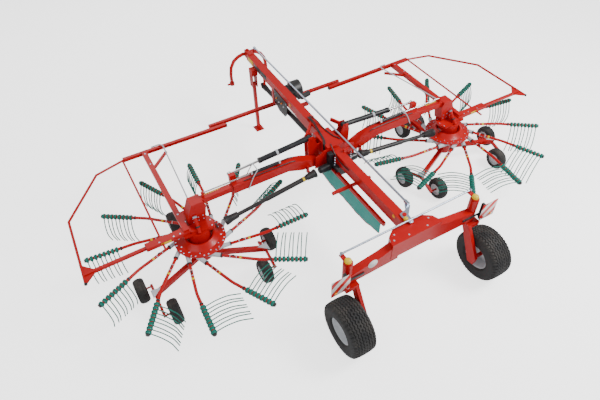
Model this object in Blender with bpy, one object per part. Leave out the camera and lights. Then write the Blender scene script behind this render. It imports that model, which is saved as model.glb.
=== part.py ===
"""Twin rotor hay rake. Metres, Z up, the headstock towards -Y, the machine's left at +X, the ground at z = 0."""

import math

import bpy
import bmesh
import numpy as np

# Overall sizes
CENTRE_Y = 0.3315         # shift that puts the frame's origin under the middle of the machine
ROTOR_X = 2.50            # rotor axis from the centre line
ROTOR_REACH = 1.726       # radius of the tine arm tips
WHEEL_R = 0.425           # rear tyre
WHEEL_W = 0.38
WHEEL_X = 1.254
WHEEL_Y = 2.315
HITCH_Y = -3.318          # swivel pin of the headstock
FIT = 0.0003              # between pieces that are bolted together
RUN = 0.006               # between pieces that move past each other

# Frame
BEAM_HALF = 0.075
BEAM_FRONT_TOP = 1.580
BEAM_MID_TOP = 1.487
CROSS_TOP = 1.470
CROSS_HALF = 0.150
REAR_HALF = 0.070
REAR_TOP = 1.410
REAR_BOTTOM = 1.220
HULL_Y = 1.800
HULL_TOP = 1.400

# Headstock and steering
SWIVEL_PIN_R = 0.022
ARCH_HALF = 0.400
ARCH_R = 0.034
ROD_R = 0.018
ROD_X = -0.190
BELL_X, BELL_Y, BELL_Z = -0.030, 1.700, 1.418
TIE_Y, TIE_Z = 1.838, 1.466
KING_X, KING_Y = 1.105, 1.971
KING_R = 0.040

# Lift arms
LIFT_X, LIFT_Z = 0.320, 1.210      # hinge of the lift arm
LIFT_PIN_R = 0.030
CYL_X, CYL_Y, CYL_Z = 0.330, -0.315, 1.570
EYE_X, EYE_Z = 1.760, 1.475
CYL_R = 0.045
ARM_Y0, ARM_Y1 = -0.225, -0.070
ARM_Z0, ARM_Z1 = 1.280, 1.430
ARM_END = 1.800
WALL = 0.025
SLIDE = 0.400                      # travel of the telescopic arm

# Rotor
DISC_R = 0.400
DISC_Z = 0.745
TINE_ARM_R = 0.024
ARM_OFFSET = 0.250
ARM_BEND = 0.980
ARM_TURN = math.radians(8.0)
SOCKET_R = 0.038
SOCKET_Z = 0.690
TIP_Z = 0.756
TINE_R = 0.006
MAST_R = 0.060
PHASES = {1: 0.779, -1: 0.4807}
CAM_AZIMUTH = (20, 45, 75, 105, 135, 165, 195, 215)
CAM_LIFT = (0, 30, 80, 85, 80, 60, 30, 0)

# Rotor wheels: outward from the rotor axis, rearward of it
CARRY_R = 0.2025
CARRY_W = 0.165
CARRY_AXLE = 0.016
OUTER_PAIR = ((1.10, 0.07), (0.77, 0.68))
INNER_PAIR = ((-1.06, 0.17), (-0.72, 0.72))
FRONT_PAIR = ((0.19, -1.00), (-0.19, -1.00))

# Drive shafts and stand
U_X, U_Z = 0.300, 1.150
V_X, V_Z = 2.160, 0.900
SHAFT_Y = 0.045
SHAFT_R = 0.040
PTO_Z = 1.120
STAND_X, STAND_Y, STAND_Z = 0.130, -2.830, 1.120

COLOURS = {
    "red": (0.62, 0.012, 0.010), "black": (0.012, 0.012, 0.013), "rubber": (0.018, 0.018, 0.019),
    "grey": (0.42, 0.44, 0.47), "steel": (0.62, 0.66, 0.72), "green": (0.0, 0.22, 0.18),
    "chrome": (0.70, 0.71, 0.72), "white": (0.75, 0.75, 0.75), "orange": (0.80, 0.20, 0.02),
}


# ---------------------------------------------------------------- shapes: (points, faces)

def shape(points, faces):
    return [tuple(p) for p in points], [tuple(f) for f in faces]


def joined(*shapes):
    """Several separate bodies as one operand."""
    points, faces = [], []
    for verts, polys in shapes:
        faces += [tuple(i + len(points) for i in f) for f in polys]
        points += verts
    return points, faces


def prism(outline, axis, low, high):
    """An outline in the other two axes, in their alphabetical order, pushed along one axis."""
    n = len(outline)
    points = []
    for at in (low, high):
        for a, b in outline:
            points.append({"x": (at, a, b), "y": (a, at, b), "z": (a, b, at)}[axis])
    faces = [tuple(range(n)), tuple(range(2 * n - 1, n - 1, -1))]
    faces += [(i, (i + 1) % n, n + (i + 1) % n, n + i) for i in range(n)]
    return shape(points, faces)


def box(x0, x1, y0, y1, z0, z1):
    return prism([(x0, y0), (x1, y0), (x1, y1), (x0, y1)], "z", z0, z1)


def frame_of(direction):
    """Two unit vectors square to a direction, the second as near to up as can be."""
    d = np.array(direction, float)
    d /= np.linalg.norm(d)
    up = np.array((0.0, 0.0, 1.0)) if abs(d[2]) < 0.95 else np.array((0.0, 1.0, 0.0))
    side = np.cross(d, up)
    side /= np.linalg.norm(side)
    return d, side, np.cross(side, d)


def swept(path, rings):
    """Rings of (side, up) offsets set square to a path, mitred at its bends."""
    path = np.array(path, float)
    n = len(rings[0])
    points = []
    steps = np.diff(path, axis=0)
    steps /= np.linalg.norm(steps, axis=1)[:, None]
    _, side, up = frame_of(steps[0])
    for k, place in enumerate(path):
        before = steps[max(k - 1, 0)]
        after = steps[min(k, len(steps) - 1)]
        plane = before + after
        plane /= np.linalg.norm(plane)
        if k:
            side = side - np.dot(side, before) * before
            side /= np.linalg.norm(side)
            up = np.cross(side, before)
        for a, b in rings[k]:
            offset = a * side + b * up
            points.append(place + offset - before * (np.dot(offset, plane) / np.dot(before, plane)))
    faces = [tuple(range(n)), tuple(range(len(points) - 1, len(points) - 1 - n, -1))]
    for k in range(len(path) - 1):
        faces += [(k * n + i, k * n + (i + 1) % n, (k + 1) * n + (i + 1) % n, (k + 1) * n + i)
                  for i in range(n)]
    return shape(points, faces)


def ring(radius, n, turn=0.0):
    return [(radius * math.cos(turn + 2 * math.pi * i / n), radius * math.sin(turn + 2 * math.pi * i / n))
            for i in range(n)]


def rod(start, end, radius, n=12, end_radius=None):
    return swept([start, end], [ring(radius, n, math.pi / n), ring(end_radius or radius, n, math.pi / n)])


def tube(path, radius, n=8):
    return swept(path, [ring(radius, n, math.pi / n)] * len(path))


def bar(path, width, height):
    half = [(-width / 2, -height / 2), (width / 2, -height / 2), (width / 2, height / 2), (-width / 2, height / 2)]
    return swept(path, [half] * len(path))


def turned(profile, centre, axis, n, flat_down=False):
    """A closed outline of (along, radius) turned about an axis; a radius of 0 isn't used."""
    centre = np.array(centre, float)
    d, side, up = frame_of(axis)
    turn = -math.pi / 2 + (math.pi / n if flat_down else 0.0)
    m = len(profile)
    points = []
    for i in range(n):
        angle = turn + 2 * math.pi * i / n
        out = math.cos(angle) * side + math.sin(angle) * up
        points += [centre + a * d + r * out for a, r in profile]
    faces = []
    for i in range(n):
        for j in range(m):
            k = (j + 1) % m
            faces.append((i * m + j, i * m + k, (i + 1) % n * m + k, (i + 1) % n * m + j))
    return shape(points, faces)


def disc(centre, axis, radius, low, high, n=16):
    """A solid cylinder along an axis, from low to high."""
    centre = np.array(centre, float)
    d, _, _ = frame_of(axis)
    return rod(centre + low * d, centre + high * d, radius, n)


def mirrored(body):
    points, faces = body
    return [(-x, y, z) for x, y, z in points], [f[::-1] for f in faces]


# ---------------------------------------------------------------- Booleans and nodes

def temporary(body):
    points, faces = body
    mesh = bpy.data.meshes.new("tmp")
    mesh.from_pydata([tuple(map(float, p)) for p in points], [], faces)
    bm = bmesh.new()
    bm.from_mesh(mesh)
    bmesh.ops.recalc_face_normals(bm, faces=bm.faces)
    bm.to_mesh(mesh)
    bm.free()
    obj = bpy.data.objects.new("tmp", mesh)
    bpy.context.scene.collection.objects.link(obj)
    return obj


def combine(body, other, operation):
    """One exact Boolean, read back as points and faces."""
    first = temporary(body)
    second = temporary(other)
    modifier = first.modifiers.new("Boolean", "BOOLEAN")
    modifier.operation = operation
    modifier.solver = "EXACT"
    modifier.object = second
    bpy.context.view_layer.update()
    mesh = first.evaluated_get(bpy.context.evaluated_depsgraph_get()).to_mesh()
    points = [tuple(v.co) for v in mesh.vertices]
    faces = [tuple(p.vertices) for p in mesh.polygons]
    for obj in (first, second):
        data = obj.data
        bpy.data.objects.remove(obj)
        bpy.data.meshes.remove(data)
    return points, faces


def solid(pieces, cuts=()):
    """Adds the pieces in turn, then takes the cuts away."""
    body = pieces[0]
    for piece in pieces[1:]:
        body = combine(body, piece, "UNION")
    for cut in cuts:
        body = combine(body, cut, "DIFFERENCE")
    return body


def material(name, colour):
    found = bpy.data.materials.get(name)
    if found:
        return found
    made = bpy.data.materials.new(name)
    made.use_nodes = True
    shader = made.node_tree.nodes["Principled BSDF"]
    shader.inputs["Base Color"].default_value = (*COLOURS[colour], 1.0)
    shader.inputs["Roughness"].default_value = 0.7 if colour in ("rubber", "black", "green") else 0.35
    shader.inputs["Metallic"].default_value = 1.0 if colour in ("steel", "chrome") else 0.0
    return made


def node(name, body, colour, origin=(0.0, 0.0, 0.0), smooth=False):
    points, faces = body
    mesh = bpy.data.meshes.new(name)
    mesh.from_pydata([tuple(float(a) - b for a, b in zip(p, origin)) for p in points], [], faces)
    bm = bmesh.new()
    bm.from_mesh(mesh)
    bmesh.ops.recalc_face_normals(bm, faces=bm.faces)
    bmesh.ops.dissolve_degenerate(bm, dist=1e-6, edges=bm.edges)
    bm.to_mesh(mesh)
    bm.free()
    mesh.materials.append(material(name + "_finish", colour))
    if smooth:
        mesh.shade_smooth()
    obj = bpy.data.objects.new(name, mesh)
    obj.location = (origin[0], origin[1] + CENTRE_Y, origin[2])
    bpy.context.scene.collection.objects.link(obj)
    return obj


def both(name, body, colour, origin, smooth=False):
    """The left piece as given and its mirror image on the right."""
    node(name + "_left", body, colour, origin, smooth)
    node(name + "_right", mirrored(body), colour, (-origin[0], origin[1], origin[2]), smooth)


# ---------------------------------------------------------------- frame

def plate_outline(top):
    """A hinge plate of the cross frame, seen along Y; the low one stops under the cylinder pin."""
    crown = [(0.285, 1.62), (0.375, 1.62), (0.40, 1.50)] if top else [(0.26, 1.40), (0.37, 1.36)]
    return [(0.075, 1.13), (0.385, 1.13)] + crown[::-1] + [(0.225, 1.44), (0.075, 1.44)]


def cross_plates():
    y_cyl, y_mid, y_back = CYL_Y - 0.060, CYL_Y + 0.055, ARM_Y1 + 0.015
    plates = [prism(plate_outline(True), "y", y_cyl, y_cyl + 0.015),
              prism(plate_outline(True), "y", y_mid, y_mid + 0.015),
              prism(plate_outline(False), "y", y_back, y_back + 0.015)]
    pins = [disc((CYL_X, 0, CYL_Z), (0, 1, 0), 0.020, y_cyl - 0.004, y_mid + 0.019),
            disc((LIFT_X, 0, LIFT_Z), (0, 1, 0), LIFT_PIN_R, y_mid - 0.004, y_back + 0.019)]
    return joined(*plates), joined(*pins)


def build_main_frame():
    beam = prism([(-3.20, 1.455), (-2.40, 1.395), (-0.80, 1.300), (-0.45, 1.270), (-0.45, 1.474),
                  (-0.77, BEAM_MID_TOP), (-3.20, BEAM_FRONT_TOP)], "x", -BEAM_HALF, BEAM_HALF)
    cross = box(-CROSS_HALF, CROSS_HALF, -0.50, -0.040, 1.240, CROSS_TOP)
    rear = box(-REAR_HALF, REAR_HALF, -0.12, HULL_Y - FIT, REAR_BOTTOM, REAR_TOP)
    flange = box(-0.14, 0.14, HULL_Y - 0.03, HULL_Y - FIT, 1.170, 1.395)
    lugs = joined(box(-0.046, 0.046, HITCH_Y - 0.045, -3.12, 1.440, 1.470),
                  box(-0.046, 0.046, HITCH_Y - 0.045, -3.12, 1.550, 1.590))
    pin = disc((0, HITCH_Y, 0), (0, 0, 1), SWIVEL_PIN_R, 1.43, 1.61, 16)
    plates, pins = cross_plates()
    horn = bar([(-0.06, -0.86, 1.485), (0.20, -0.56, 1.49), (0.36, -0.415, 1.50), (0.64, -0.405, 1.47)], 0.036, 0.060)
    short_horn = bar([(0.27, -0.62, 1.505), (0.36, -0.415, 1.50), (0.64, -0.405, 1.47)], 0.036, 0.060)
    web = solid([box(0.05, 0.36, -0.43, CYL_Y - 0.050, 1.36, 1.43), box(0.29, 0.36, -0.43, CYL_Y - 0.050, 1.37, 1.51)])
    hanger = joined(box(-0.075, -0.056, -2.150, -2.080, 1.073, 1.42), box(0.056, 0.075, -2.150, -2.080, 1.073, 1.42))
    bell_pin = disc((BELL_X, BELL_Y, 0), (0, 0, 1), 0.0195, REAR_TOP - 0.03, BELL_Z + 0.0195, 16)
    bell_cap = disc((BELL_X, BELL_Y, 0), (0, 0, 1), 0.032, BELL_Z + 0.0165, BELL_Z + 0.026, 16)
    guides = joined(*[box(ROD_X - 0.03, -0.05, y, y + 0.03, rod_z(y) - 0.100, rod_z(y) - ROD_R - 0.0026)
                      for y in (-1.30, 0.10)])
    shaft_hook = box(-0.02, 0.02, -2.62, -2.59, PTO_Z + 0.0583, 1.42)
    stand_block = box(0.06, STAND_X + 0.052, STAND_Y - 0.07, STAND_Y + 0.07, 1.33, 1.46)
    cheeks = joined(box(STAND_X - 0.052, STAND_X - 0.038, STAND_Y - 0.07, STAND_Y + 0.07, STAND_Z - 0.05, 1.40),
                    box(STAND_X + 0.038, STAND_X + 0.052, STAND_Y - 0.07, STAND_Y + 0.07, STAND_Z - 0.05, 1.40))
    stand_pin = disc((0, STAND_Y, STAND_Z), (1, 0, 0), 0.014, STAND_X - 0.058, STAND_X + 0.058)
    body = solid([beam, cross, rear, flange, lugs, pin, plates, mirrored(plates), pins, mirrored(pins),
                  joined(web, mirrored(web)), horn, mirrored(short_horn), hanger, joined(bell_pin), bell_cap, guides,
                  shaft_hook, stand_block, cheeks, stand_pin])
    node("main_frame", body, "red")


def build_rear_axle():
    hull = prism([(-0.25, HULL_Y), (0.25, HULL_Y), (0.38, 1.89), (0.43, 2.02), (0.43, 2.05),
                  (-0.43, 2.05), (-0.43, 2.02), (-0.38, 1.89)], "z", 1.10, HULL_TOP)
    arm = prism([(0.30, 1.04), (KING_X + 0.01, 1.01), (KING_X + 0.01, 1.18), (0.60, 1.27), (0.30, 1.36)],
                "y", 1.925, 2.045)
    sleeve = disc((KING_X, KING_Y, 0), (0, 0, 1), 0.070, 1.0005, 1.4145, 20)
    bore = disc((KING_X, KING_Y, 0), (0, 0, 1), KING_R + 0.0025, 0.9, 1.5, 20)
    body = solid([hull, joined(arm, mirrored(arm)), joined(sleeve, mirrored(sleeve))],
                 [joined(bore, mirrored(bore))])
    node("rear_axle", body, "red")


def build_gearbox():
    case = box(-0.11, 0.11, -0.039, 0.22, 1.03, REAR_BOTTOM - FIT)
    nose = disc((0, 0, PTO_Z), (0, 1, 0), 0.060, -0.10, 0.02)
    sides = rod((-U_X - 0.07, SHAFT_Y, U_Z), (U_X + 0.07, SHAFT_Y, U_Z), 0.045, 14)
    boots = joined(rod((0.17, SHAFT_Y, U_Z), (0.355, SHAFT_Y, U_Z), 0.068, 14, 0.060),
                   rod((-0.17, SHAFT_Y, U_Z), (-0.355, SHAFT_Y, U_Z), 0.068, 14, 0.060))
    tower = box(0.095, 0.175, -0.032, 0.060, 1.12, 1.400)
    node("gearbox", solid([case, nose, sides, boots, tower]), "grey")


def build_pto():
    tube_part = rod((0, -2.55, PTO_Z), (0, -0.25, PTO_Z), 0.045, 14)
    bells = joined(rod((0, -0.30, PTO_Z), (0, -0.1003, PTO_Z), 0.050, 14, 0.058),
                   rod((0, -2.66, PTO_Z), (0, -2.50, PTO_Z), 0.058, 14, 0.050))
    yoke = box(-0.03, 0.03, -2.74, -2.62, PTO_Z - 0.03, PTO_Z + 0.03)
    node("pto_shaft", solid([tube_part, bells, yoke]), "black", smooth=False)


def build_front_pieces():
    guard = box(-1.42, 1.42, -2.145, -2.085, 1.0127, 1.0727)
    node("centre_guard", combine(guard, box(-1.40, 1.40, -2.120, -2.08, 1.035, 1.055), "DIFFERENCE"), "red")
    panel = prism([(-2.02, 1.30), (-1.95, 1.12), (-1.85, 1.06), (-1.62, 1.06), (-1.55, 1.13), (-1.52, 1.40),
                   (-2.02, 1.45)], "x", BEAM_HALF + FIT, BEAM_HALF + 0.012)
    node("hose_panel", panel, "black")
    bracket = box(-0.20, -BEAM_HALF - FIT, -2.02, -1.70, 1.40, 1.44)
    drum = disc((0, -1.93, 1.36), (1, 0, 0), 0.160, -0.40, -0.225, 20)
    tube_part = rod((-0.43, -1.62, 1.395), (-0.235, -1.55, 1.42), 0.050, 12)
    link = box(-0.26, -0.17, -1.95, -1.55, 1.385, 1.43)
    node("storage_drum", solid([bracket, link, drum, tube_part]), "black")


def build_curtain():
    rail = joined(box(0.112, 0.148, -0.52, 1.50, 1.076, 1.100))
    deep = box(0.105, 0.155, 0.24, 1.50, 1.090, 1.150)
    cross = box(-0.25, 0.47, 0.59, 0.63, 1.135, 1.185)
    hanger = box(-0.03, 0.03, 0.58, 0.64, 1.16, REAR_BOTTOM - FIT)
    node("curtain_rail", solid([rail, deep, cross, hanger]), "red")
    sheet = prism([(-0.52, 0.76), (0.10, 0.72), (1.05, 0.73), (1.40, 0.82), (1.42, 1.0757), (-0.52, 1.0757)],
                  "x", 0.127, 0.133)
    node("swath_curtain", sheet, "green")


def build_stand():
    leg = box(STAND_X - 0.030, STAND_X + 0.030, STAND_Y - 0.035, STAND_Y + 0.035, 0.008, STAND_Z + 0.035)
    pad = box(STAND_X - 0.09, STAND_X + 0.09, STAND_Y - 0.10, STAND_Y + 0.10, 0.0, 0.014)
    bore = disc((0, STAND_Y, STAND_Z), (1, 0, 0), 0.0146, STAND_X - 0.1, STAND_X + 0.1)
    node("parking_stand", solid([leg, pad], [bore]), "red", (STAND_X, STAND_Y, STAND_Z))


# ---------------------------------------------------------------- headstock and steering

def build_headstock():
    boss = disc((0, HITCH_Y, 0), (0, 0, 1), 0.048, 1.4705, 1.5495, 20)
    y = HITCH_Y - 0.032
    arch = tube([(0.0, HITCH_Y - 0.020, 1.510), (0.10, y, 1.508), (0.20, y, 1.480), (0.30, y, 1.415),
                 (0.375, y, 1.29), (ARCH_HALF, y, 1.13), (ARCH_HALF, y, 0.93)], ARCH_R, 10)
    foot = rod((ARCH_HALF, y, 0.90), (ARCH_HALF, y, 0.965), 0.050, 10)
    toe = rod((ARCH_HALF - 0.02, y, 0.93), (ARCH_HALF + 0.10, y, 0.93), 0.020, 10)
    lug = box(-0.215, -0.02, HITCH_Y - 0.085, HITCH_Y - 0.028, 1.512, 1.528)
    hole = disc((0, HITCH_Y, 0), (0, 0, 1), SWIVEL_PIN_R + 0.0015, 1.3, 1.7, 16)
    body = solid([boss, arch, mirrored(arch), joined(foot, mirrored(foot)), joined(toe, mirrored(toe)), lug], [hole])
    node("headstock_yoke", body, "red", (0, HITCH_Y, 1.51))


def rod_z(y):
    """Height of the steering rod along its length."""
    return 1.560 - 0.02108 * (y + 3.38)


def build_steering():
    front, back = (ROD_X, -3.38, rod_z(-3.38)), (ROD_X, 1.53, rod_z(1.53))
    body = solid([rod(front, back, ROD_R, 10), box(ROD_X - 0.022, ROD_X + 0.022, -3.40, -3.34, 1.5287, 1.572),
                  box(ROD_X - 0.022, ROD_X + 0.022, 1.50, 1.585, BELL_Z + 0.0167, 1.474)])
    node("steering_rod", body, "steel", front)
    plate = prism([(-0.215, 1.53), (-0.165, 1.53), (-0.10, 1.63), (0.02, 1.655), (0.03, 1.72), (0.00, 1.87),
                   (-0.06, 1.87), (-0.085, 1.73), (-0.215, 1.60)], "z", BELL_Z, BELL_Z + 0.016)
    hole = disc((BELL_X, BELL_Y, 0), (0, 0, 1), 0.0210, 1.3, 1.6, 16)
    node("bell_crank", solid([plate], [hole]), "steel", (BELL_X, BELL_Y, BELL_Z))
    end = KING_X + 0.019
    link = solid([rod((-end, TIE_Y, TIE_Z), (end, TIE_Y, TIE_Z), 0.015, 10),
                  box(BELL_X - 0.02, BELL_X + 0.02, TIE_Y - 0.02, TIE_Y + 0.02, BELL_Z + 0.0167, TIE_Z),
                  joined(disc((end, TIE_Y, 0), (0, 0, 1), 0.022, 1.4367, TIE_Z + 0.018),
                         disc((-end, TIE_Y, 0), (0, 0, 1), 0.022, 1.4367, TIE_Z + 0.018))])
    node("tie_rod", link, "steel", (0, TIE_Y, TIE_Z))


def build_knuckle():
    pin = disc((KING_X, KING_Y, 0), (0, 0, 1), KING_R, 0.96, 1.436, 20)
    cap = disc((KING_X, KING_Y, 0), (0, 0, 1), 0.062, 1.4150, 1.434, 16)
    top = box(KING_X - 0.02, KING_X + 0.045, TIE_Y - 0.02, KING_Y, 1.4200, 1.436)
    flange = box(0.985, 1.20, 1.915, 2.11, 0.930, 1.0)
    inner = WHEEL_X - WHEEL_W / 2 - 0.020
    leg = prism([(1.95, 0.99), (2.10, 0.99), (WHEEL_Y + 0.08, 0.50), (WHEEL_Y + 0.06, 0.36), (WHEEL_Y - 0.05, 0.35),
                 (WHEEL_Y - 0.10, 0.46)], "x", inner - 0.055, inner)
    stub = rod((inner - 0.02, WHEEL_Y, WHEEL_R), (WHEEL_X, WHEEL_Y, WHEEL_R), 0.030, 14)
    both("steering_knuckle", solid([pin, cap, top, flange, leg, stub]), "red", (KING_X, KING_Y, 1.2))


def build_rear_wheel():
    half = WHEEL_W / 2
    flat = 1 / math.cos(math.pi / 24)
    bead = 0.214
    tyre = turned([(-half * 0.80, bead + FIT), (-half, bead + 0.05), (-half, WHEEL_R * 0.83), (-half * 0.84, WHEEL_R * 0.96),
                   (-half * 0.55, WHEEL_R * flat), (half * 0.55, WHEEL_R * flat), (half * 0.84, WHEEL_R * 0.96),
                   (half, WHEEL_R * 0.83), (half, bead + 0.05), (half * 0.80, bead + FIT)],
                  (WHEEL_X, WHEEL_Y, WHEEL_R), (1, 0, 0), 24, True)
    rim = turned([(-half * 0.78, bead - 0.015), (-half * 0.78, bead), (half * 0.78, bead), (half * 0.78, bead - 0.015),
                  (0.05, bead - 0.030), (0.02, 0.115), (0.055, 0.100), (0.055, 0.0306), (-0.020, 0.0306),
                  (-0.020, 0.09), (0.005, 0.115), (0.015, bead - 0.035)],
                 (WHEEL_X, WHEEL_Y, WHEEL_R), (1, 0, 0), 24, True)
    place = (WHEEL_X, WHEEL_Y, WHEEL_R)
    both("rear_tyre", tyre, "rubber", place, True)
    both("rear_rim", rim, "grey", place)


def build_rear_boards():
    board = box(1.15, 1.45, 2.1103, 2.1143, 1.03, 1.37)
    both("warning_board", board, "white", (0, 0, 0))
    arm = box(0.88, 1.22, 2.0455, 2.0605, 1.10, 1.14)
    post = box(1.19, 1.23, 2.0455, 2.110, 1.05, 1.34)
    lamp = box(1.17, 1.42, 2.07, 2.110, 1.05, 1.11)
    both("lamp_bracket", solid([arm, post, lamp]), "black", (0, 0, 0))


# ---------------------------------------------------------------- lift arms and cylinders

def build_lift_arm():
    mid = (ARM_Y0 + ARM_Y1) / 2
    outline = [(LIFT_X - 0.05, LIFT_Z - 0.02), (LIFT_X - 0.02, LIFT_Z - 0.055), (0.60, 1.185), (0.86, ARM_Z0),
               (ARM_END, ARM_Z0), (ARM_END, ARM_Z1), (0.78, ARM_Z1), (0.56, 1.370), (0.36, 1.275), (LIFT_X - 0.05, 1.24)]
    arm = prism(outline, "y", ARM_Y0, ARM_Y1)
    barrel = rod((0.96, mid, 1.478), (1.48, mid, 1.478), 0.024, 10)
    feet = joined(box(0.97, 1.03, mid - 0.02, mid + 0.02, ARM_Z1 - 0.02, 1.465),
                  box(1.43, 1.47, mid - 0.02, mid + 0.02, ARM_Z1 - 0.02, 1.465))
    lug = box(EYE_X - 0.06, EYE_X + 0.035, ARM_Y0 - 0.058, ARM_Y0 + 0.02, 1.34, EYE_Z + 0.045)
    steady = box(0.50, 0.53, ARM_Y1 - 0.02, SHAFT_Y - 0.0575, 1.100, 1.160)
    foot = box(0.50, 0.53, ARM_Y1 - 0.02, ARM_Y1 + 0.03, 1.150, 1.24)
    cavity = box(0.92, ARM_END + 0.1, ARM_Y0 + WALL - 0.0005, ARM_Y1 - WALL + 0.0005,
                 ARM_Z0 + 0.0295, ARM_Z1 - 0.0295)
    bore = disc((LIFT_X, 0, LIFT_Z), (0, 1, 0), LIFT_PIN_R + 0.002, -0.4, 0.1)
    hole = rod((0.985, mid, 1.478), (1.60, mid, 1.478), 0.0125, 10)
    body = solid([arm, feet, barrel, lug, foot, steady], [cavity, bore, hole])
    both("lift_arm", body, "red", (LIFT_X, mid, LIFT_Z))


def build_lift_cylinder():
    start = np.array((CYL_X, CYL_Y, CYL_Z))
    end = np.array((EYE_X, CYL_Y, EYE_Z))
    d = (end - start) / np.linalg.norm(end - start)
    eye = disc((CYL_X, 0, CYL_Z), (0, 1, 0), 0.042, CYL_Y - 0.035, CYL_Y + 0.035)
    barrel = rod(start + 0.03 * d, start + 0.93 * d, CYL_R, 14)
    pin = disc((CYL_X, 0, CYL_Z), (0, 1, 0), 0.0208, CYL_Y - 0.1, CYL_Y + 0.1)
    bore = rod(start + 0.10 * d, start + 1.00 * d, 0.0205, 14)
    both("cylinder_barrel", solid([eye, barrel], [pin, bore]), "black", tuple(start))
    shaft = rod(start + 0.50 * d, end, 0.0194, 12)
    tip = disc((EYE_X, 0, EYE_Z), (0, 1, 0), 0.034, CYL_Y - 0.022, CYL_Y + 0.022)
    both("cylinder_rod", solid([shaft, tip]), "chrome", tuple(end))


def build_carrier():
    mid = (ARM_Y0 + ARM_Y1) / 2
    inner = box(1.345, 2.46, ARM_Y0 + WALL, ARM_Y1 - WALL, ARM_Z0 + 0.030, ARM_Z1 - 0.030)
    column = prism([(2.28, 1.30), (2.34, 1.00), (2.60, 1.00), (2.60, 1.15), (2.50, 1.405), (2.32, 1.405)],
                   "y", -0.245, -0.050)
    stay = box(2.255, 2.290, mid - 0.02, mid + 0.02, 1.38, 1.495)
    piston = rod((1.40, mid, 1.478), (2.27, mid, 1.478), 0.0110, 10)
    both("carrier_arm", solid([inner, column, stay, piston]), "red", (ROTOR_X, mid, 1.355))
    case = disc((ROTOR_X, 0, 0), (0, 0, 1), 0.170, DISC_Z + 0.031, 0.975, 24)
    lid = prism([(ROTOR_X + 0.26 * math.cos(a), 0.26 * math.sin(a)) for a in np.linspace(2.6, 6.3, 12)]
                + [(ROTOR_X + 0.24, 0.11), (ROTOR_X - 0.05, 0.12)], "z", 0.96, 0.9997)
    mount = box(ROTOR_X - 0.02, ROTOR_X + 0.12 - FIT, -0.04, 0.10, 0.965, 1.045)
    socket = rod((V_X + 0.045, SHAFT_Y, V_Z), (ROTOR_X - 0.10, SHAFT_Y, V_Z), 0.032, 12)
    crank = rod((ROTOR_X + 0.01, 0.13, 0.985), (ROTOR_X - 0.005, -0.025, 1.175), 0.030, 12)
    both("rotor_gearbox", solid([case, lid, mount, socket, crank]), "red", (ROTOR_X, 0, 1.355))


# ---------------------------------------------------------------- guard

def build_guard():
    rail = bar([(1.126, -2.006, 1.040), (3.05, -1.980, 1.088)], 0.060, 0.060)
    arm = bar([(2.68, -2.00, 1.080), (2.68, 0.06, 1.045)], 0.085, 0.085)
    root = box(ROTOR_X + 0.12, 3.30, -0.035, 0.085, 1.0000 + FIT, 1.065)
    loop = tube([(3.02, -1.98, 1.088), (3.54, -1.852, 1.081), (4.161, -1.026, 1.080), (4.206, 0.230, 1.043)], 0.020, 8)
    cross = bar([(4.20, 0.060, 1.046), (3.20, 0.025, 1.025)], 0.048, 0.048)
    gusset = prism([(4.19, 0.22), (4.215, 0.22), (4.215, -0.16), (4.03, 0.04), (4.03, 0.075)], "z", 1.035, 1.052)
    stay = tube([(3.06, -1.96, 1.085), (3.06, 0.22, 1.030)], 0.017, 8)
    brace = bar([(2.68, -1.50, 1.07), (2.34, -1.81, 1.08)], 0.040, 0.040)
    groove = bar([(1.0, -1.976, 1.040), (2.60, -1.953, 1.079)], 0.050, 0.030)
    body = solid([rail, arm, root, loop, cross, gusset, stay, brace], [groove])
    both("guard", body, "red", (ROTOR_X, 0, 1.04))


# ---------------------------------------------------------------- undercarriage and rotor wheels

def rocker(pair, z_beam):
    """A tandem rocker between two wheels on opposite sides of it, with their stub axles."""
    (xa, ya), (xb, yb) = pair
    sign = 1 if xa > xb else -1
    plane = (xa + xb) / 2
    mid_y = (ya + yb) / 2 - 0.02
    line = bar([(ROTOR_X + plane, ya - 0.02, CARRY_R), (ROTOR_X + plane, mid_y, z_beam - 0.03),
                (ROTOR_X + plane, yb + 0.02, CARRY_R)], 0.040, 0.050)
    stubs = joined(rod((ROTOR_X + plane, ya, CARRY_R), (ROTOR_X + xa + sign * 0.05, ya, CARRY_R), CARRY_AXLE, 10),
                   rod((ROTOR_X + plane, yb, CARRY_R), (ROTOR_X + xb - sign * 0.05, yb, CARRY_R), CARRY_AXLE, 10))
    return line, stubs, (ROTOR_X + plane, mid_y)


def build_undercarriage():
    z = 0.345
    mast = disc((ROTOR_X, 0, 0), (0, 0, 1), MAST_R, 0.30, DISC_Z + 0.0305, 20)
    hub = disc((ROTOR_X, 0, 0), (0, 0, 1), 0.130, 0.30, 0.6295, 16)
    pieces = [mast, hub]
    routes = {OUTER_PAIR: (0.10, 0.02), INNER_PAIR: (-0.08, 0.04)}
    for pair, start in routes.items():
        line, stubs, (px, py) = rocker(pair, z)
        pieces += [bar([(ROTOR_X + start[0], start[1], z), (px, py, z)], 0.075, 0.075), line, stubs]
    pieces.append(bar([(ROTOR_X, -0.05, z), (ROTOR_X, FRONT_PAIR[0][1] + 0.01, z), (ROTOR_X, FRONT_PAIR[0][1], 0.18)],
                      0.080, 0.070))
    pieces.append(rod((ROTOR_X - 0.24, FRONT_PAIR[0][1], CARRY_R), (ROTOR_X + 0.24, FRONT_PAIR[0][1], CARRY_R),
                      CARRY_AXLE, 10))
    both("undercarriage", solid(pieces), "red", (ROTOR_X, 0, 0.60))


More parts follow.
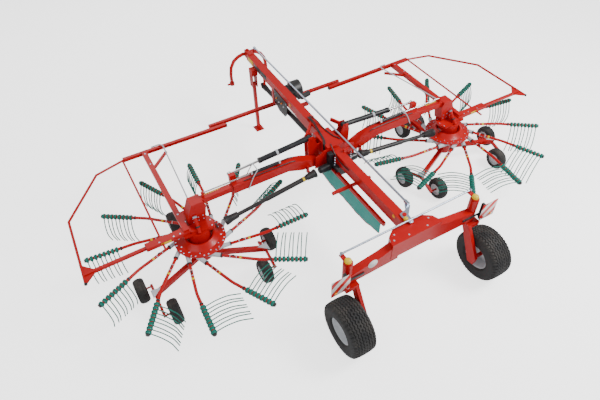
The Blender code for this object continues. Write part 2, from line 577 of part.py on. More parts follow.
def build_rotor_wheels():
    half = CARRY_W / 2
    flat = 1 / math.cos(math.pi / 12)
    hole = CARRY_AXLE + 0.0010
    profile = [(-0.042, hole), (-0.042, 0.045), (-0.030, 0.095), (-half, 0.125), (-half, 0.175), (-half * 0.6, CARRY_R * flat)]
    profile += [(-a, r) for a, r in profile[::-1]]
    places = {"outer_front": OUTER_PAIR[0], "outer_rear": OUTER_PAIR[1], "inner_front": INNER_PAIR[0],
              "inner_rear": INNER_PAIR[1], "lead_outer": FRONT_PAIR[0], "lead_inner": FRONT_PAIR[1]}
    for name, (out, y) in places.items():
        at = (ROTOR_X + out, y, CARRY_R)
        both("rotor_wheel_" + name, turned(profile, at, (1, 0, 0), 12, True), "rubber", at, True)


# ---------------------------------------------------------------- rotors

def arm_lines(angle):
    """Start, bend and tip of a tine arm, with the line's direction beyond the bend."""
    along = angle + math.radians(4.85)
    u = np.array((math.cos(along), math.sin(along), 0.0))
    n = np.array((math.sin(along), -math.cos(along), 0.0))
    centre = np.array((ROTOR_X, 0.0, 0.0))
    tip_xy = centre + ROTOR_REACH * np.array((math.cos(angle), math.sin(angle), 0.0))
    slope = (TIP_Z - SOCKET_Z) / (ROTOR_REACH - 0.15)

    def at(s):
        return centre + ARM_OFFSET * n + s * u + np.array((0, 0, SOCKET_Z + slope * (s - 0.15)))
    tip = tip_xy + np.array((0, 0, TIP_Z))
    return at, tip


def tine(root, tip_dir, side, lift):
    """One spring tine: hangs, trails to the side, and is swung up by the cam about its arm."""
    c, s = math.cos(lift), math.sin(lift)
    points = []
    for across, down in ((0.0, 0.010), (0.085, -0.28), (0.065, -0.560)):
        points.append(root + side * (across * c - down * s) + np.array((0, 0, across * s + down * c)))
    return tube(points, TINE_R, 3)


def build_rotor(sign):
    profile = [(0.630, MAST_R + 0.006), (0.630, 0.270), (0.733, 0.270), (0.733, DISC_R), (0.757, DISC_R), (0.757, 0.300),
               (0.835, 0.235), (0.835, 0.210), (0.770, 0.200), (0.770, MAST_R + 0.006)]
    hub = turned(profile, (ROTOR_X, 0, 0), (0, 0, 1), 32)
    sockets, arms, tines = [], [], []
    for i in range(12):
        angle = PHASES[sign] + i * math.pi / 6
        at, tip = arm_lines(angle)
        bend = at(ARM_BEND)
        sockets.append(rod(at(0.06), at(0.42), SOCKET_R, 6))
        arms.append(tube([at(0.39), bend, tip], TINE_ARM_R, 5))
        out = (tip - bend) / np.linalg.norm(tip - bend)
        side = np.cross(np.array((0.0, 0.0, 1.0)), out)
        side /= np.linalg.norm(side)
        lift = math.radians(float(np.interp(math.degrees(angle) % 360, CAM_AZIMUTH, CAM_LIFT)))
        tines += [tine(bend + out * (0.275 + 0.0625 * k), out, side, lift) for k in range(8)]
    body = solid([joined(*arms), joined(*tines)])
    body = combine(hub, combine(joined(*sockets), body, "UNION"), "UNION")
    if sign < 0:
        body = mirrored(body)
    node("rotor_" + ("left" if sign > 0 else "right"), body, "red", (sign * ROTOR_X, 0, DISC_Z))


# ---------------------------------------------------------------- drive shafts

def build_drive_shaft():
    start, end = np.array((U_X, SHAFT_Y, U_Z)), np.array((V_X, SHAFT_Y, V_Z))
    d = (end - start) / np.linalg.norm(end - start)

    def at(t):
        return start + t * d
    boot = rod(at(0.130), at(0.300), 0.064, 14, 0.050)
    outer = solid([boot, rod(at(0.26), at(1.05), SHAFT_R, 14)], [rod(at(0.18), at(1.20), SHAFT_R - 0.007, 14)])
    both("drive_shaft_outer", outer, "black", tuple(start))
    inner = solid([rod(at(0.60), at(1.60), SHAFT_R - 0.0078, 14), rod(at(1.56), at(1.79), 0.050, 14, 0.062)])
    both("drive_shaft_inner", inner, "black", tuple(end))


def main():
    for obj in list(bpy.data.objects):
        bpy.data.objects.remove(obj)
    build_main_frame()
    build_rear_axle()
    build_gearbox()
    build_pto()
    build_front_pieces()
    build_curtain()
    build_stand()
    build_headstock()
    build_steering()
    build_knuckle()
    build_rear_wheel()
    build_rear_boards()
    build_lift_arm()
    build_lift_cylinder()
    build_carrier()
    build_guard()
    build_undercarriage()
    build_rotor_wheels()
    build_rotor(1)
    build_rotor(-1)
    build_drive_shaft()


main()
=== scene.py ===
"""Looks of the twin rotor hay rake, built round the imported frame: metres, Z up, headstock towards -Y."""
import logging
import math
from dataclasses import dataclass, field
from enum import Enum

import bmesh
import bpy
import numpy as np
from mathutils import Matrix, Vector


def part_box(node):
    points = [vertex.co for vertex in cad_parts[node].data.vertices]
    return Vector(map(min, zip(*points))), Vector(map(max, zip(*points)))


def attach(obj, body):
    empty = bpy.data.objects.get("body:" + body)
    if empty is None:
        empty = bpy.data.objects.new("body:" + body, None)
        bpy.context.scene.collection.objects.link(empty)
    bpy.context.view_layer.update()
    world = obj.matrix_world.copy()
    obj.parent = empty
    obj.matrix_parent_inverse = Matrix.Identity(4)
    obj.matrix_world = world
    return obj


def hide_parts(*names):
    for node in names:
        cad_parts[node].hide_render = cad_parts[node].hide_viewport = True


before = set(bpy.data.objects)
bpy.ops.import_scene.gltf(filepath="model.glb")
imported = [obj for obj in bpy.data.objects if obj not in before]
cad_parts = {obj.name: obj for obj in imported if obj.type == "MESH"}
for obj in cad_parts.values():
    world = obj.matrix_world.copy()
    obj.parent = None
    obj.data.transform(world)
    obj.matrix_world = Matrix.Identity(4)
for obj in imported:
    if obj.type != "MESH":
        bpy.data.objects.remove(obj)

log = logging.getLogger("hay_rake")
Array = np.ndarray
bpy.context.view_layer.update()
CENTRE = np.array((0.0, 0.3315, 0.0))  # the rotors' line in the frame; all places below are from it
SIDES = {1: "left", -1: "right"}
ROTOR_X = 2.50
RAKE_WHEELS = {  # place under the rotor: x, y and the side of its axle's nut
    "outer_front": (ROTOR_X + 1.10, 0.07, 1), "outer_rear": (ROTOR_X + 0.77, 0.68, -1),
    "inner_front": (ROTOR_X - 1.06, 0.17, -1), "inner_rear": (ROTOR_X - 0.72, 0.72, 1),
    "lead_outer": (ROTOR_X + 0.19, -1.0, 1), "lead_inner": (ROTOR_X - 0.19, -1.0, -1)}
LEFTWARD, REARWARD, UPWARD = np.eye(3)


# ================================================================ mesh arithmetic

@dataclass
class Surface:
    """Points, quads or triangles and the finish index of each face of one piece."""

    points: Array
    faces: list
    finish: Array

    @staticmethod
    def join(parts: "list[Surface]") -> "Surface":
        """Puts several closed surfaces into one piece.

        Args:
            parts: the surfaces, kept in order.
        Returns:
            One surface whose face indices are shifted by the points before them.
        """
        points, faces, finish, base = [], [], [], 0
        for part in parts:
            points.append(part.points)
            faces += [np.asarray(f) + base for f in part.faces]
            finish.append(part.finish)
            base += len(part.points)
        return Surface(np.concatenate(points), faces, np.concatenate(finish))

    def mirrored(self, side: int) -> "Surface":
        """The same surface, or its mirror image in x with its faces turned round, for side -1."""
        if side > 0:
            return self
        points = self.points * np.array((-1.0, 1.0, 1.0))
        return Surface(points, [np.asarray(f)[..., ::-1] for f in self.faces], self.finish)


def unit(vector: Array) -> Array:
    """Unit vectors: each row divided by its length.

    Args:
        vector: one vector, or an array with one a row.
    Returns:
        The same shape, each of length 1.
    """
    vector = np.asarray(vector, float)
    return vector / np.linalg.norm(vector, axis=-1, keepdims=True)


def grid(points: Array, finish: int = 0, caps: bool = True, loop: bool = False) -> Surface:
    """A tube of quads from an M by N array of points that closes round its second index.

    Args:
        points: M rings of N points.
        finish: material index.
        caps: closes the first and last ring with a polygon each.
        loop: joins the last ring to the first, as in a tyre.
    Returns:
        Face (i, j) is (i, j), (i, j+1), (i+1, j+1), (i+1, j), all modulo the ring.
    """
    m, n = points.shape[:2]
    rows = m if loop else m - 1
    i, j = np.meshgrid(np.arange(rows), np.arange(n), indexing="ij")
    k, i2 = (j + 1) % n, (i + 1) % m
    quads = np.stack([i * n + j, i * n + k, i2 * n + k, i2 * n + j], -1).reshape(-1, 4)
    faces = [quads]
    count = len(quads)
    if caps and not loop:
        faces += [np.arange(n)[::-1][None], (np.arange(n) + (m - 1) * n)[None]]
        count += 2
    return Surface(points.reshape(-1, 3), faces, np.full(count, finish))


def frames(path: Array) -> "tuple[Array, Array, Array]":
    """Axes along a path: side is tangent x the world axis least along it, and up is side x tangent.

    Args:
        path: M points of the centre line.
    Returns:
        (tangent, side, up), each M by 3.
    """
    tangent = unit(np.gradient(path, axis=0))
    spread = np.abs(tangent).max(axis=0)
    guide = np.eye(3)[int(np.argmin(spread))]
    side = unit(np.cross(tangent, guide))
    return tangent, side, np.cross(side, tangent)


def swept(path: Array, radius: "float | Array", sides: int = 8, finish: int = 0,
          profile: "Array | None" = None) -> Surface:
    """A ring carried along a path: point = path + r (cos a side + sin a up).

    Args:
        path: M points of the centre line.
        radius: one radius, or one per path point.
        sides: points round the ring.
        finish: material index.
        profile: an N by 2 outline of (side, up) used in place of the circle.
    Returns:
        The closed tube.
    """
    path = np.asarray(path, float)
    _, side, up = frames(path)
    if profile is None:
        angle = np.linspace(0, 2 * np.pi, sides, endpoint=False) + np.pi / sides
        profile = np.stack([np.cos(angle), np.sin(angle)], -1)
    radius = np.broadcast_to(np.asarray(radius, float), (len(path),))
    rings = (path[:, None] + radius[:, None, None]
             * (profile[None, :, :1] * side[:, None] + profile[None, :, 1:] * up[:, None]))
    return grid(rings, finish)


def turned(profile: "list[tuple[float, float]] | Array", centre: Array, axis: Array, steps: int = 48,
           finish: int = 0, closed: bool = False) -> Surface:
    """An outline of (along, radius) turned about an axis.

    Args:
        profile: the outline, from end to end, or closed round a bore.
        centre: origin of the outline.
        axis: direction of turning.
        steps: points round the circle.
        finish: material index.
        closed: True when the outline is a ring that never meets the axis.
    Returns:
        The solid of revolution, capped at both ends if it isn't closed.
    """
    profile = np.asarray(profile, float)
    axis = unit(axis)
    guide = np.eye(3)[int(np.argmin(np.abs(axis)))]
    side = unit(np.cross(axis, guide))
    up = np.cross(axis, side)
    angle = np.linspace(0, 2 * np.pi, steps, endpoint=False)
    out = np.cos(angle)[:, None] * side + np.sin(angle)[:, None] * up
    points = (np.asarray(centre, float) + profile[:, None, :1] * axis + profile[:, None, 1:] * out[None])
    return grid(points, finish, loop=closed)


def block(low: Array, high: Array, bevel: float = 0.004, finish: int = 0) -> Surface:
    """A box with chamfered edges: an eight-sided outline carried along Z, drawn in at both ends.

    Args:
        low: one corner.
        high: the corner opposite.
        bevel: width of the chamfer, at most 0.45 of the shortest side.
        finish: material index.
    Returns:
        The closed box.
    """
    low, high = np.minimum(low, high), np.maximum(low, high)
    bevel = min(bevel, 0.45 * float((high - low).min()))
    near, far = low + bevel, high - bevel
    x = np.array([near[0], far[0], high[0], high[0], far[0], near[0], low[0], low[0]])
    y = np.array([low[1], low[1], near[1], far[1], high[1], high[1], far[1], near[1]])
    middle = (low + high) / 2
    rings = []
    for z, inset in ((low[2], bevel), (near[2], 0.0), (far[2], 0.0), (high[2], bevel)):
        shrink_x = 1 - inset / max(high[0] - middle[0], 1e-6)
        shrink_y = 1 - inset / max(high[1] - middle[1], 1e-6)
        rings.append(np.stack([middle[0] + (x - middle[0]) * shrink_x,
                               middle[1] + (y - middle[1]) * shrink_y, np.full(8, z)], -1))
    return grid(np.array(rings), finish)


def bolt(place: Array, axis: Array, size: float = 0.010, finish: int = 0) -> Surface:
    """A hexagon head on a washer: an outline turned in six steps for the head and twelve for the washer.

    Args:
        place: middle of the washer's seat.
        axis: direction the head points.
        size: half the head's width over its corners.
        finish: material index.
    Returns:
        Head and washer.
    """
    head = turned([(0.15 * size, size * 0.98), (0.70 * size, size), (0.85 * size, size * 0.8)],
                  place, axis, 6, finish)
    washer = turned([(-0.2 * size, size * 1.35), (0.15 * size, size * 1.35)], place, axis, 12, finish)
    return Surface.join([washer, head])


def band(span: "tuple[float, float]", radii: "tuple[float, float]", centre: Array, axis: Array,
         steps: int, finish: int = 0) -> Surface:
    """A plain ring: the rectangle of span by radii turned about an axis.

    Args:
        span: its two ends along the axis, from the centre.
        radii: bore and outer radius.
        centre: where the span is measured from.
        axis: direction of turning.
        steps: points round the circle.
        finish: material index.
    Returns:
        The closed ring.
    """
    (low, high), (bore, radius) = span, radii
    outline = [(low, bore), (low, radius), (high, radius), (high, bore)]
    return turned(outline, centre, axis, steps, finish, closed=True)


def curve_through(points: "list[tuple[float, float, float]] | Array", steps: int = 12) -> Array:
    """A smooth line through points: Catmull-Rom cubics, sums of four knots weighted by powers of t.

    Args:
        points: the knots, in order.
        steps: points for each span.
    Returns:
        The line's points, both end knots among them.
    """
    knots = np.asarray(points, float)
    knots = np.vstack([2 * knots[0] - knots[1], knots, 2 * knots[-1] - knots[-2]])
    t = np.linspace(0, 1, steps, endpoint=False)[:, None]
    weights = (0.5 * (-t + 2 * t**2 - t**3), 0.5 * (2 - 5 * t**2 + 3 * t**3),
               0.5 * (t + 4 * t**2 - 3 * t**3), 0.5 * (-t**2 + t**3))
    spans = [sum(w * knots[k + q] for q, w in enumerate(weights)) for k in range(len(knots) - 3)]
    return np.vstack([*spans, knots[-2][None]])


# ================================================================ effects shared by the materials

@dataclass
class Graph:
    """A node tree, with one short way to add a node and feed it."""

    tree: bpy.types.NodeTree

    def add(self, kind: str, feeds: "dict | None" = None, operation: str = "",
            group: "bpy.types.NodeTree | None" = None) -> bpy.types.Node:
        """Adds a node.

        Args:
            kind: the node's type, without its ShaderNode.
            feeds: socket name or number to a value, or to the output that is linked there.
            operation: what a maths node does.
            group: the shared group that a group node holds.
        Returns:
            The node.
        """
        node = self.tree.nodes.new("ShaderNode" + kind)
        if operation:
            node.operation = operation
        if group:
            node.node_tree = group
        for socket, value in (feeds or {}).items():
            if isinstance(value, bpy.types.NodeSocket):
                self.tree.links.new(value, node.inputs[socket])
            else:
                node.inputs[socket].default_value = value
        return node

    def maths(self, operation: str, *feeds: "float | bpy.types.NodeSocket") -> bpy.types.NodeSocket:
        """The result of a maths node whose inputs are the feeds, in order."""
        return self.add("Math", dict(enumerate(feeds)), operation).outputs[0]

    def noise(self, **feeds: "float | bpy.types.NodeSocket") -> bpy.types.NodeSocket:
        """Noise on Object coordinates, about 0.5 on average."""
        place = self.add("TexCoord").outputs["Object"]
        return self.add("TexNoise", {"Vector": place, **feeds}).outputs["Fac"]


def new_group(name: str, inputs: "dict[str, float | tuple]",
              outputs: "dict[str, str]") -> "tuple[Graph, bpy.types.NodeOutputs, bpy.types.NodeInputs]":
    """An empty shader group with its sockets.

    Args:
        name: the group's name.
        inputs: socket name to its default, a number or a colour.
        outputs: socket name to socket type.
    Returns:
        (graph, what comes in, what goes out).
    """
    group = bpy.data.node_groups.new(name, "ShaderNodeTree")
    for label, default in inputs.items():
        kind = "NodeSocketColor" if isinstance(default, tuple) else "NodeSocketFloat"
        group.interface.new_socket(label, in_out="INPUT", socket_type=kind).default_value = default
    for label, kind in outputs.items():
        group.interface.new_socket(label, in_out="OUTPUT", socket_type=kind)
    return Graph(group), group.nodes.new("NodeGroupInput").outputs, group.nodes.new("NodeGroupOutput").inputs


def weathering_group() -> bpy.types.NodeTree:
    """Dust and uneven tone.

    Returns:
        A group: tone = colour x (1 + mottle (noise - 0.5)), then mixed towards dust by
        dust x upward share of the normal x patches of the noise.
    """
    graph, source, sink = new_group(
        "weathering", {"Color": (1, 1, 1, 1), "Dust": 0.15, "Mottle": 0.08, "Scale": 6.0},
        {"Color": "NodeSocketColor", "Mask": "NodeSocketFloat"})
    noise = graph.noise(Scale=source["Scale"], Detail=6.0, Roughness=0.62)
    normal = graph.add("NewGeometry").outputs["Normal"]
    rise = graph.add("SeparateXYZ", {0: normal}).outputs["Z"]
    upward = graph.add("MapRange", {"Value": rise, "From Min": 0.1}).outputs[0]
    patch = graph.add("MapRange", {"Value": noise, "From Min": 0.42, "From Max": 0.72}).outputs[0]
    amount = graph.maths("MULTIPLY", graph.maths("MULTIPLY", upward, patch), source["Dust"])
    shade = graph.maths("MULTIPLY_ADD", graph.maths("SUBTRACT", noise, 0.5), source["Mottle"], 1.0)
    tone = graph.add("MixRGB", {"Fac": 1.0, "Color1": source["Color"], "Color2": shade})
    tone.blend_type = "MULTIPLY"
    dusty = graph.add("MixRGB", {"Fac": amount, "Color1": tone.outputs[0], "Color2": (0.36, 0.31, 0.25, 1.0)})
    graph.tree.links.new(dusty.outputs[0], sink["Color"])
    graph.tree.links.new(amount, sink["Mask"])
    return graph.tree


def grain_group() -> bpy.types.NodeTree:
    """Fine relief and uneven gloss.

    Returns:
        A group: height = fine noise, roughness = roughness + spread x (coarse noise - 0.5).
    """
    graph, source, sink = new_group("grain", {"Scale": 120.0, "Roughness": 0.4, "Spread": 0.1},
                                    {"Height": "NodeSocketFloat", "Roughness": "NodeSocketFloat"})
    fine = graph.noise(Scale=source["Scale"], Detail=3.0)
    coarse = graph.noise(Scale=5.0, Detail=5.0)
    uneven = graph.maths("SUBTRACT", coarse, 0.5)
    gloss = graph.maths("MULTIPLY_ADD", uneven, source["Spread"], source["Roughness"])
    graph.tree.links.new(fine, sink["Height"])
    graph.tree.links.new(gloss, sink["Roughness"])
    return graph.tree


class Effects:
    """The shader groups, each built once."""

    weathering: bpy.types.NodeTree = weathering_group()
    grain: bpy.types.NodeTree = grain_group()


class Kind(Enum):
    """How a finish reflects."""

    PAINT = "paint"
    METAL = "metal"
    RUBBER = "rubber"
    PLASTIC = "plastic"
    CLOTH = "cloth"


@dataclass(frozen=True)
class Finish:
    """One finish: base colour, gloss and how it has weathered."""

    name: str
    kind: Kind
    colour: "tuple[float, float, float]"
    roughness: float = 0.35
    dust: float = 0.10
    mottle: float = 0.20
    relief: float = 0.02
    grain: float = 140.0
    stripes: "tuple | None" = None  # the second colour, the direction across, the pitch and the share of it

    def build(self) -> bpy.types.Material:
        """The finish as a material, made once and then found by name.

        Returns:
            Its Principled BSDF takes colour from the weathering group, gloss and relief from the grain group.
        """
        found = bpy.data.materials.get(self.name)
        if found:
            return found
        material = bpy.data.materials.new(self.name)
        material.use_nodes = True
        graph = Graph(material.node_tree)
        shader = graph.tree.nodes["Principled BSDF"].inputs
        shader["Metallic"].default_value = float(self.kind is Kind.METAL)
        if self.kind is Kind.PAINT:
            shader["Coat Weight"].default_value = 0.08
            shader["Coat Roughness"].default_value = 0.12
            shader["Specular IOR Level"].default_value = 0.28
        if self.kind is Kind.CLOTH:
            shader["Sheen Weight"].default_value = 0.15
        colour = self.striped(graph) if self.stripes else (*self.colour, 1.0)
        weather = graph.add("Group", {"Color": colour, "Dust": self.dust, "Mottle": self.mottle},
                            group=Effects.weathering).outputs
        grain = graph.add("Group", {"Scale": self.grain, "Roughness": self.roughness, "Spread": 0.18},
                          group=Effects.grain).outputs
        relief = graph.add("Bump", {"Strength": 0.35, "Distance": self.relief * 0.05,
                                    "Height": grain["Height"]})
        graph.tree.links.new(weather["Color"], shader["Base Color"])
        graph.tree.links.new(grain["Roughness"], shader["Roughness"])
        graph.tree.links.new(relief.outputs["Normal"], shader["Normal"])
        return material

    def striped(self, graph: Graph) -> bpy.types.NodeSocket:
        """Bands of two colours: the fraction of (place . direction / pitch) is under or over the share.

        Args:
            graph: the material's nodes.
        Returns:
            The banded colour.
        """
        other, direction, pitch, share = self.stripes
        place = graph.add("TexCoord").outputs["Object"]
        along = graph.add("VectorMath", {0: place, 1: tuple(d / pitch for d in direction)}, "DOT_PRODUCT")
        step = graph.maths("GREATER_THAN", graph.maths("FRACT", along.outputs["Value"]), share)
        colours = {"Fac": step, "Color1": (*self.colour, 1.0), "Color2": (*other, 1.0)}
        return graph.add("MixRGB", colours).outputs[0]


RED = Finish("red_paint", Kind.PAINT, (0.46, 0.001, 0.002), 0.33, 0.01, 0.25, 0.010)
BLACK = Finish("black_plastic", Kind.PLASTIC, (0.013, 0.013, 0.015), 0.42, 0.10, 0.35, 0.05)
BLACK_PAINT = Finish("black_paint", Kind.PAINT, (0.016, 0.018, 0.022), 0.30, 0.10, 0.30, 0.01)
TYRE = Finish("tyre_rubber", Kind.RUBBER, (0.016, 0.016, 0.017), 0.72, 0.16, 0.50, 0.10, 90.0)
SILVER = Finish("silver_paint", Kind.PAINT, (0.55, 0.57, 0.60), 0.34, 0.06, 0.15, 0.010)
ZINC = Finish("zinc_plate", Kind.METAL, (0.50, 0.57, 0.68), 0.36, 0.05, 0.30, 0.010)
CASTING = Finish("bare_casting", Kind.PAINT, (0.52, 0.54, 0.58), 0.46, 0.08, 0.35, 0.08, 60.0)
CHROME = Finish("chrome_rod", Kind.METAL, (0.80, 0.80, 0.81), 0.10, 0.0, 0.05, 0.002)
TEAL = Finish("teal_plastic", Kind.PLASTIC, (0.0, 0.17, 0.13), 0.42, 0.03, 0.25, 0.03)
WIRE = Finish("teal_spring_wire", Kind.PAINT, (0.0, 0.150, 0.110), 0.55, 0.0, 0.25, 0.005)
YELLOW = Finish("yellow_band", Kind.PLASTIC, (0.80, 0.54, 0.0), 0.42, 0.02, 0.12, 0.005)
WHITE = Finish("white_band", Kind.PLASTIC, (0.80, 0.80, 0.79), 0.40, 0.05, 0.12, 0.005)
AMBER = Finish("amber_lens", Kind.PLASTIC, (0.90, 0.34, 0.01), 0.15, 0.0, 0.10, 0.003)
RUBY = Finish("red_lens", Kind.PLASTIC, (0.45, 0.01, 0.01), 0.12, 0.0, 0.10, 0.003)
ORANGE = Finish("orange_cap", Kind.PLASTIC, (0.85, 0.22, 0.03), 0.40, 0.05, 0.12, 0.01)
SHEET = Finish("teal_sheet", Kind.CLOTH, (0.0, 0.33, 0.28), 0.62, 0.01, 0.30, 0.12, 300.0)
DECAL = Finish("dark_decal", Kind.PLASTIC, (0.035, 0.050, 0.052), 0.30, 0.03, 0.10, 0.003)
BOARD = Finish("striped_board", Kind.PLASTIC, (0.80, 0.80, 0.79), 0.35, 0.05, 0.10, 0.005,
               stripes=((0.62, 0.010, 0.010), (0.7071, 0.0, 0.7071), 0.150, 0.5))
SCALE = Finish("yellow_scale", Kind.PLASTIC, (0.86, 0.66, 0.01), 0.38, 0.03, 0.10, 0.003,
               stripes=((0.66, 0.012, 0.010), (1.0, 0.0, 0.0), 0.036, 0.55))
FLOOR = Finish("studio_floor", Kind.RUBBER, (0.90, 0.90, 0.90), 0.85, 0.0, 0.02, 0.001)


def make_piece(name: str, surface: Surface, finishes: "Finish | list[Finish]", body: str, smooth: bool = True,
               angle: float = 35.0) -> bpy.types.Object:
    """Turns a surface into a mesh object that rides on a body.

    Args:
        name: the piece's name.
        surface: its points and faces, in the row frame.
        finishes: one finish, or one per material index.
        body: the CAD body it rides on.
        smooth: shades it smooth, with edges sharper than the angle kept.
        angle: in degrees.
    Returns:
        The object, at the origin.
    """
    mesh = bpy.data.meshes.new(name)
    loops = np.concatenate([f.reshape(-1) for f in surface.faces])
    sizes = np.concatenate([np.full(len(f), f.shape[1]) for f in surface.faces])
    mesh.vertices.add(len(surface.points))
    mesh.vertices.foreach_set("co", (surface.points + CENTRE).astype(np.float32).ravel())
    mesh.loops.add(len(loops))
    mesh.loops.foreach_set("vertex_index", loops.astype(np.int32))
    mesh.polygons.add(len(sizes))
    mesh.polygons.foreach_set("loop_start", (np.cumsum(sizes) - sizes).astype(np.int32))
    mesh.polygons.foreach_set("material_index", surface.finish.astype(np.int32))
    mesh.update(calc_edges=True)
    mesh.validate()
    for finish in finishes if isinstance(finishes, list) else [finishes]:
        mesh.materials.append(finish.build())
    if smooth:
        mesh.shade_smooth()
        mesh.set_sharp_from_angle(angle=math.radians(angle))
    piece = bpy.data.objects.new(name, mesh)
    bpy.context.scene.collection.objects.link(piece)
    outward(mesh)
    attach(piece, body)
    log.info("%s: %d faces on %s", name, len(sizes), body)
    return piece


def outward(mesh: bpy.types.Mesh) -> None:
    """Turns each closed shell's faces outwards.

    Args:
        mesh: the piece's mesh.
    """
    shell = bmesh.new()
    shell.from_mesh(mesh)
    bmesh.ops.recalc_face_normals(shell, faces=shell.faces)
    shell.to_mesh(mesh)
    shell.free()


def dress_node(name: str, finish: Finish, bevel: float = 0.004) -> None:
    """Gives a CAD node its finish and, over a bevel's width, rounded edges.

    Args:
        name: the CAD node.
        finish: its finish.
        bevel: width of the rounding, or 0 for none.
    """
    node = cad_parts[name]
    node.data.materials.clear()
    node.data.materials.append(finish.build())
    if bevel:
        weld = node.modifiers.new("weld", "WELD")
        weld.merge_threshold = 0.00002
        edge = node.modifiers.new("rounded_edges", "BEVEL")
        edge.width = bevel
        edge.segments = 2
        edge.limit_method = "ANGLE"
        edge.angle_limit = math.radians(38)
        edge.use_clamp_overlap = True
    node.data.shade_smooth()
    node.modifiers.new("soft_normals", "WEIGHTED_NORMAL")


def stand_in(node: str, *pieces: bpy.types.Object) -> None:
    """Hides a CAD node, whose place the pieces take.

    Args:
        node: the CAD node.
        pieces: not used.
    """
    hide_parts(node)


@dataclass
class Sided:
    """What comes once for each side; sizes are the left one's, and side is -1 for its mirror image."""

    side: int

    @property
    def label(self) -> str:
        """left or right."""
        return SIDES[self.side]

    def make(self, name: str, parts: "list[Surface]", finishes: "Finish | list[Finish]", body: str,
             **shading: "bool | float") -> bpy.types.Object:
        """Makes this side's copy of a piece.

        Args:
            name: the piece's name without its side.
            parts: its surfaces on the left side.
            finishes: one finish, or one per material index.
            body: chassis, or the name of a body without its side.
            shading: smooth and angle, as for make_piece.
        Returns:
            The object.
        """
        if body != "chassis":
            body = f"{body}_{self.label}"
        surface = Surface.join(parts).mirrored(self.side)
        return make_piece(f"{name}_{self.label}", surface, finishes, body, **shading)


# ================================================================ rotors

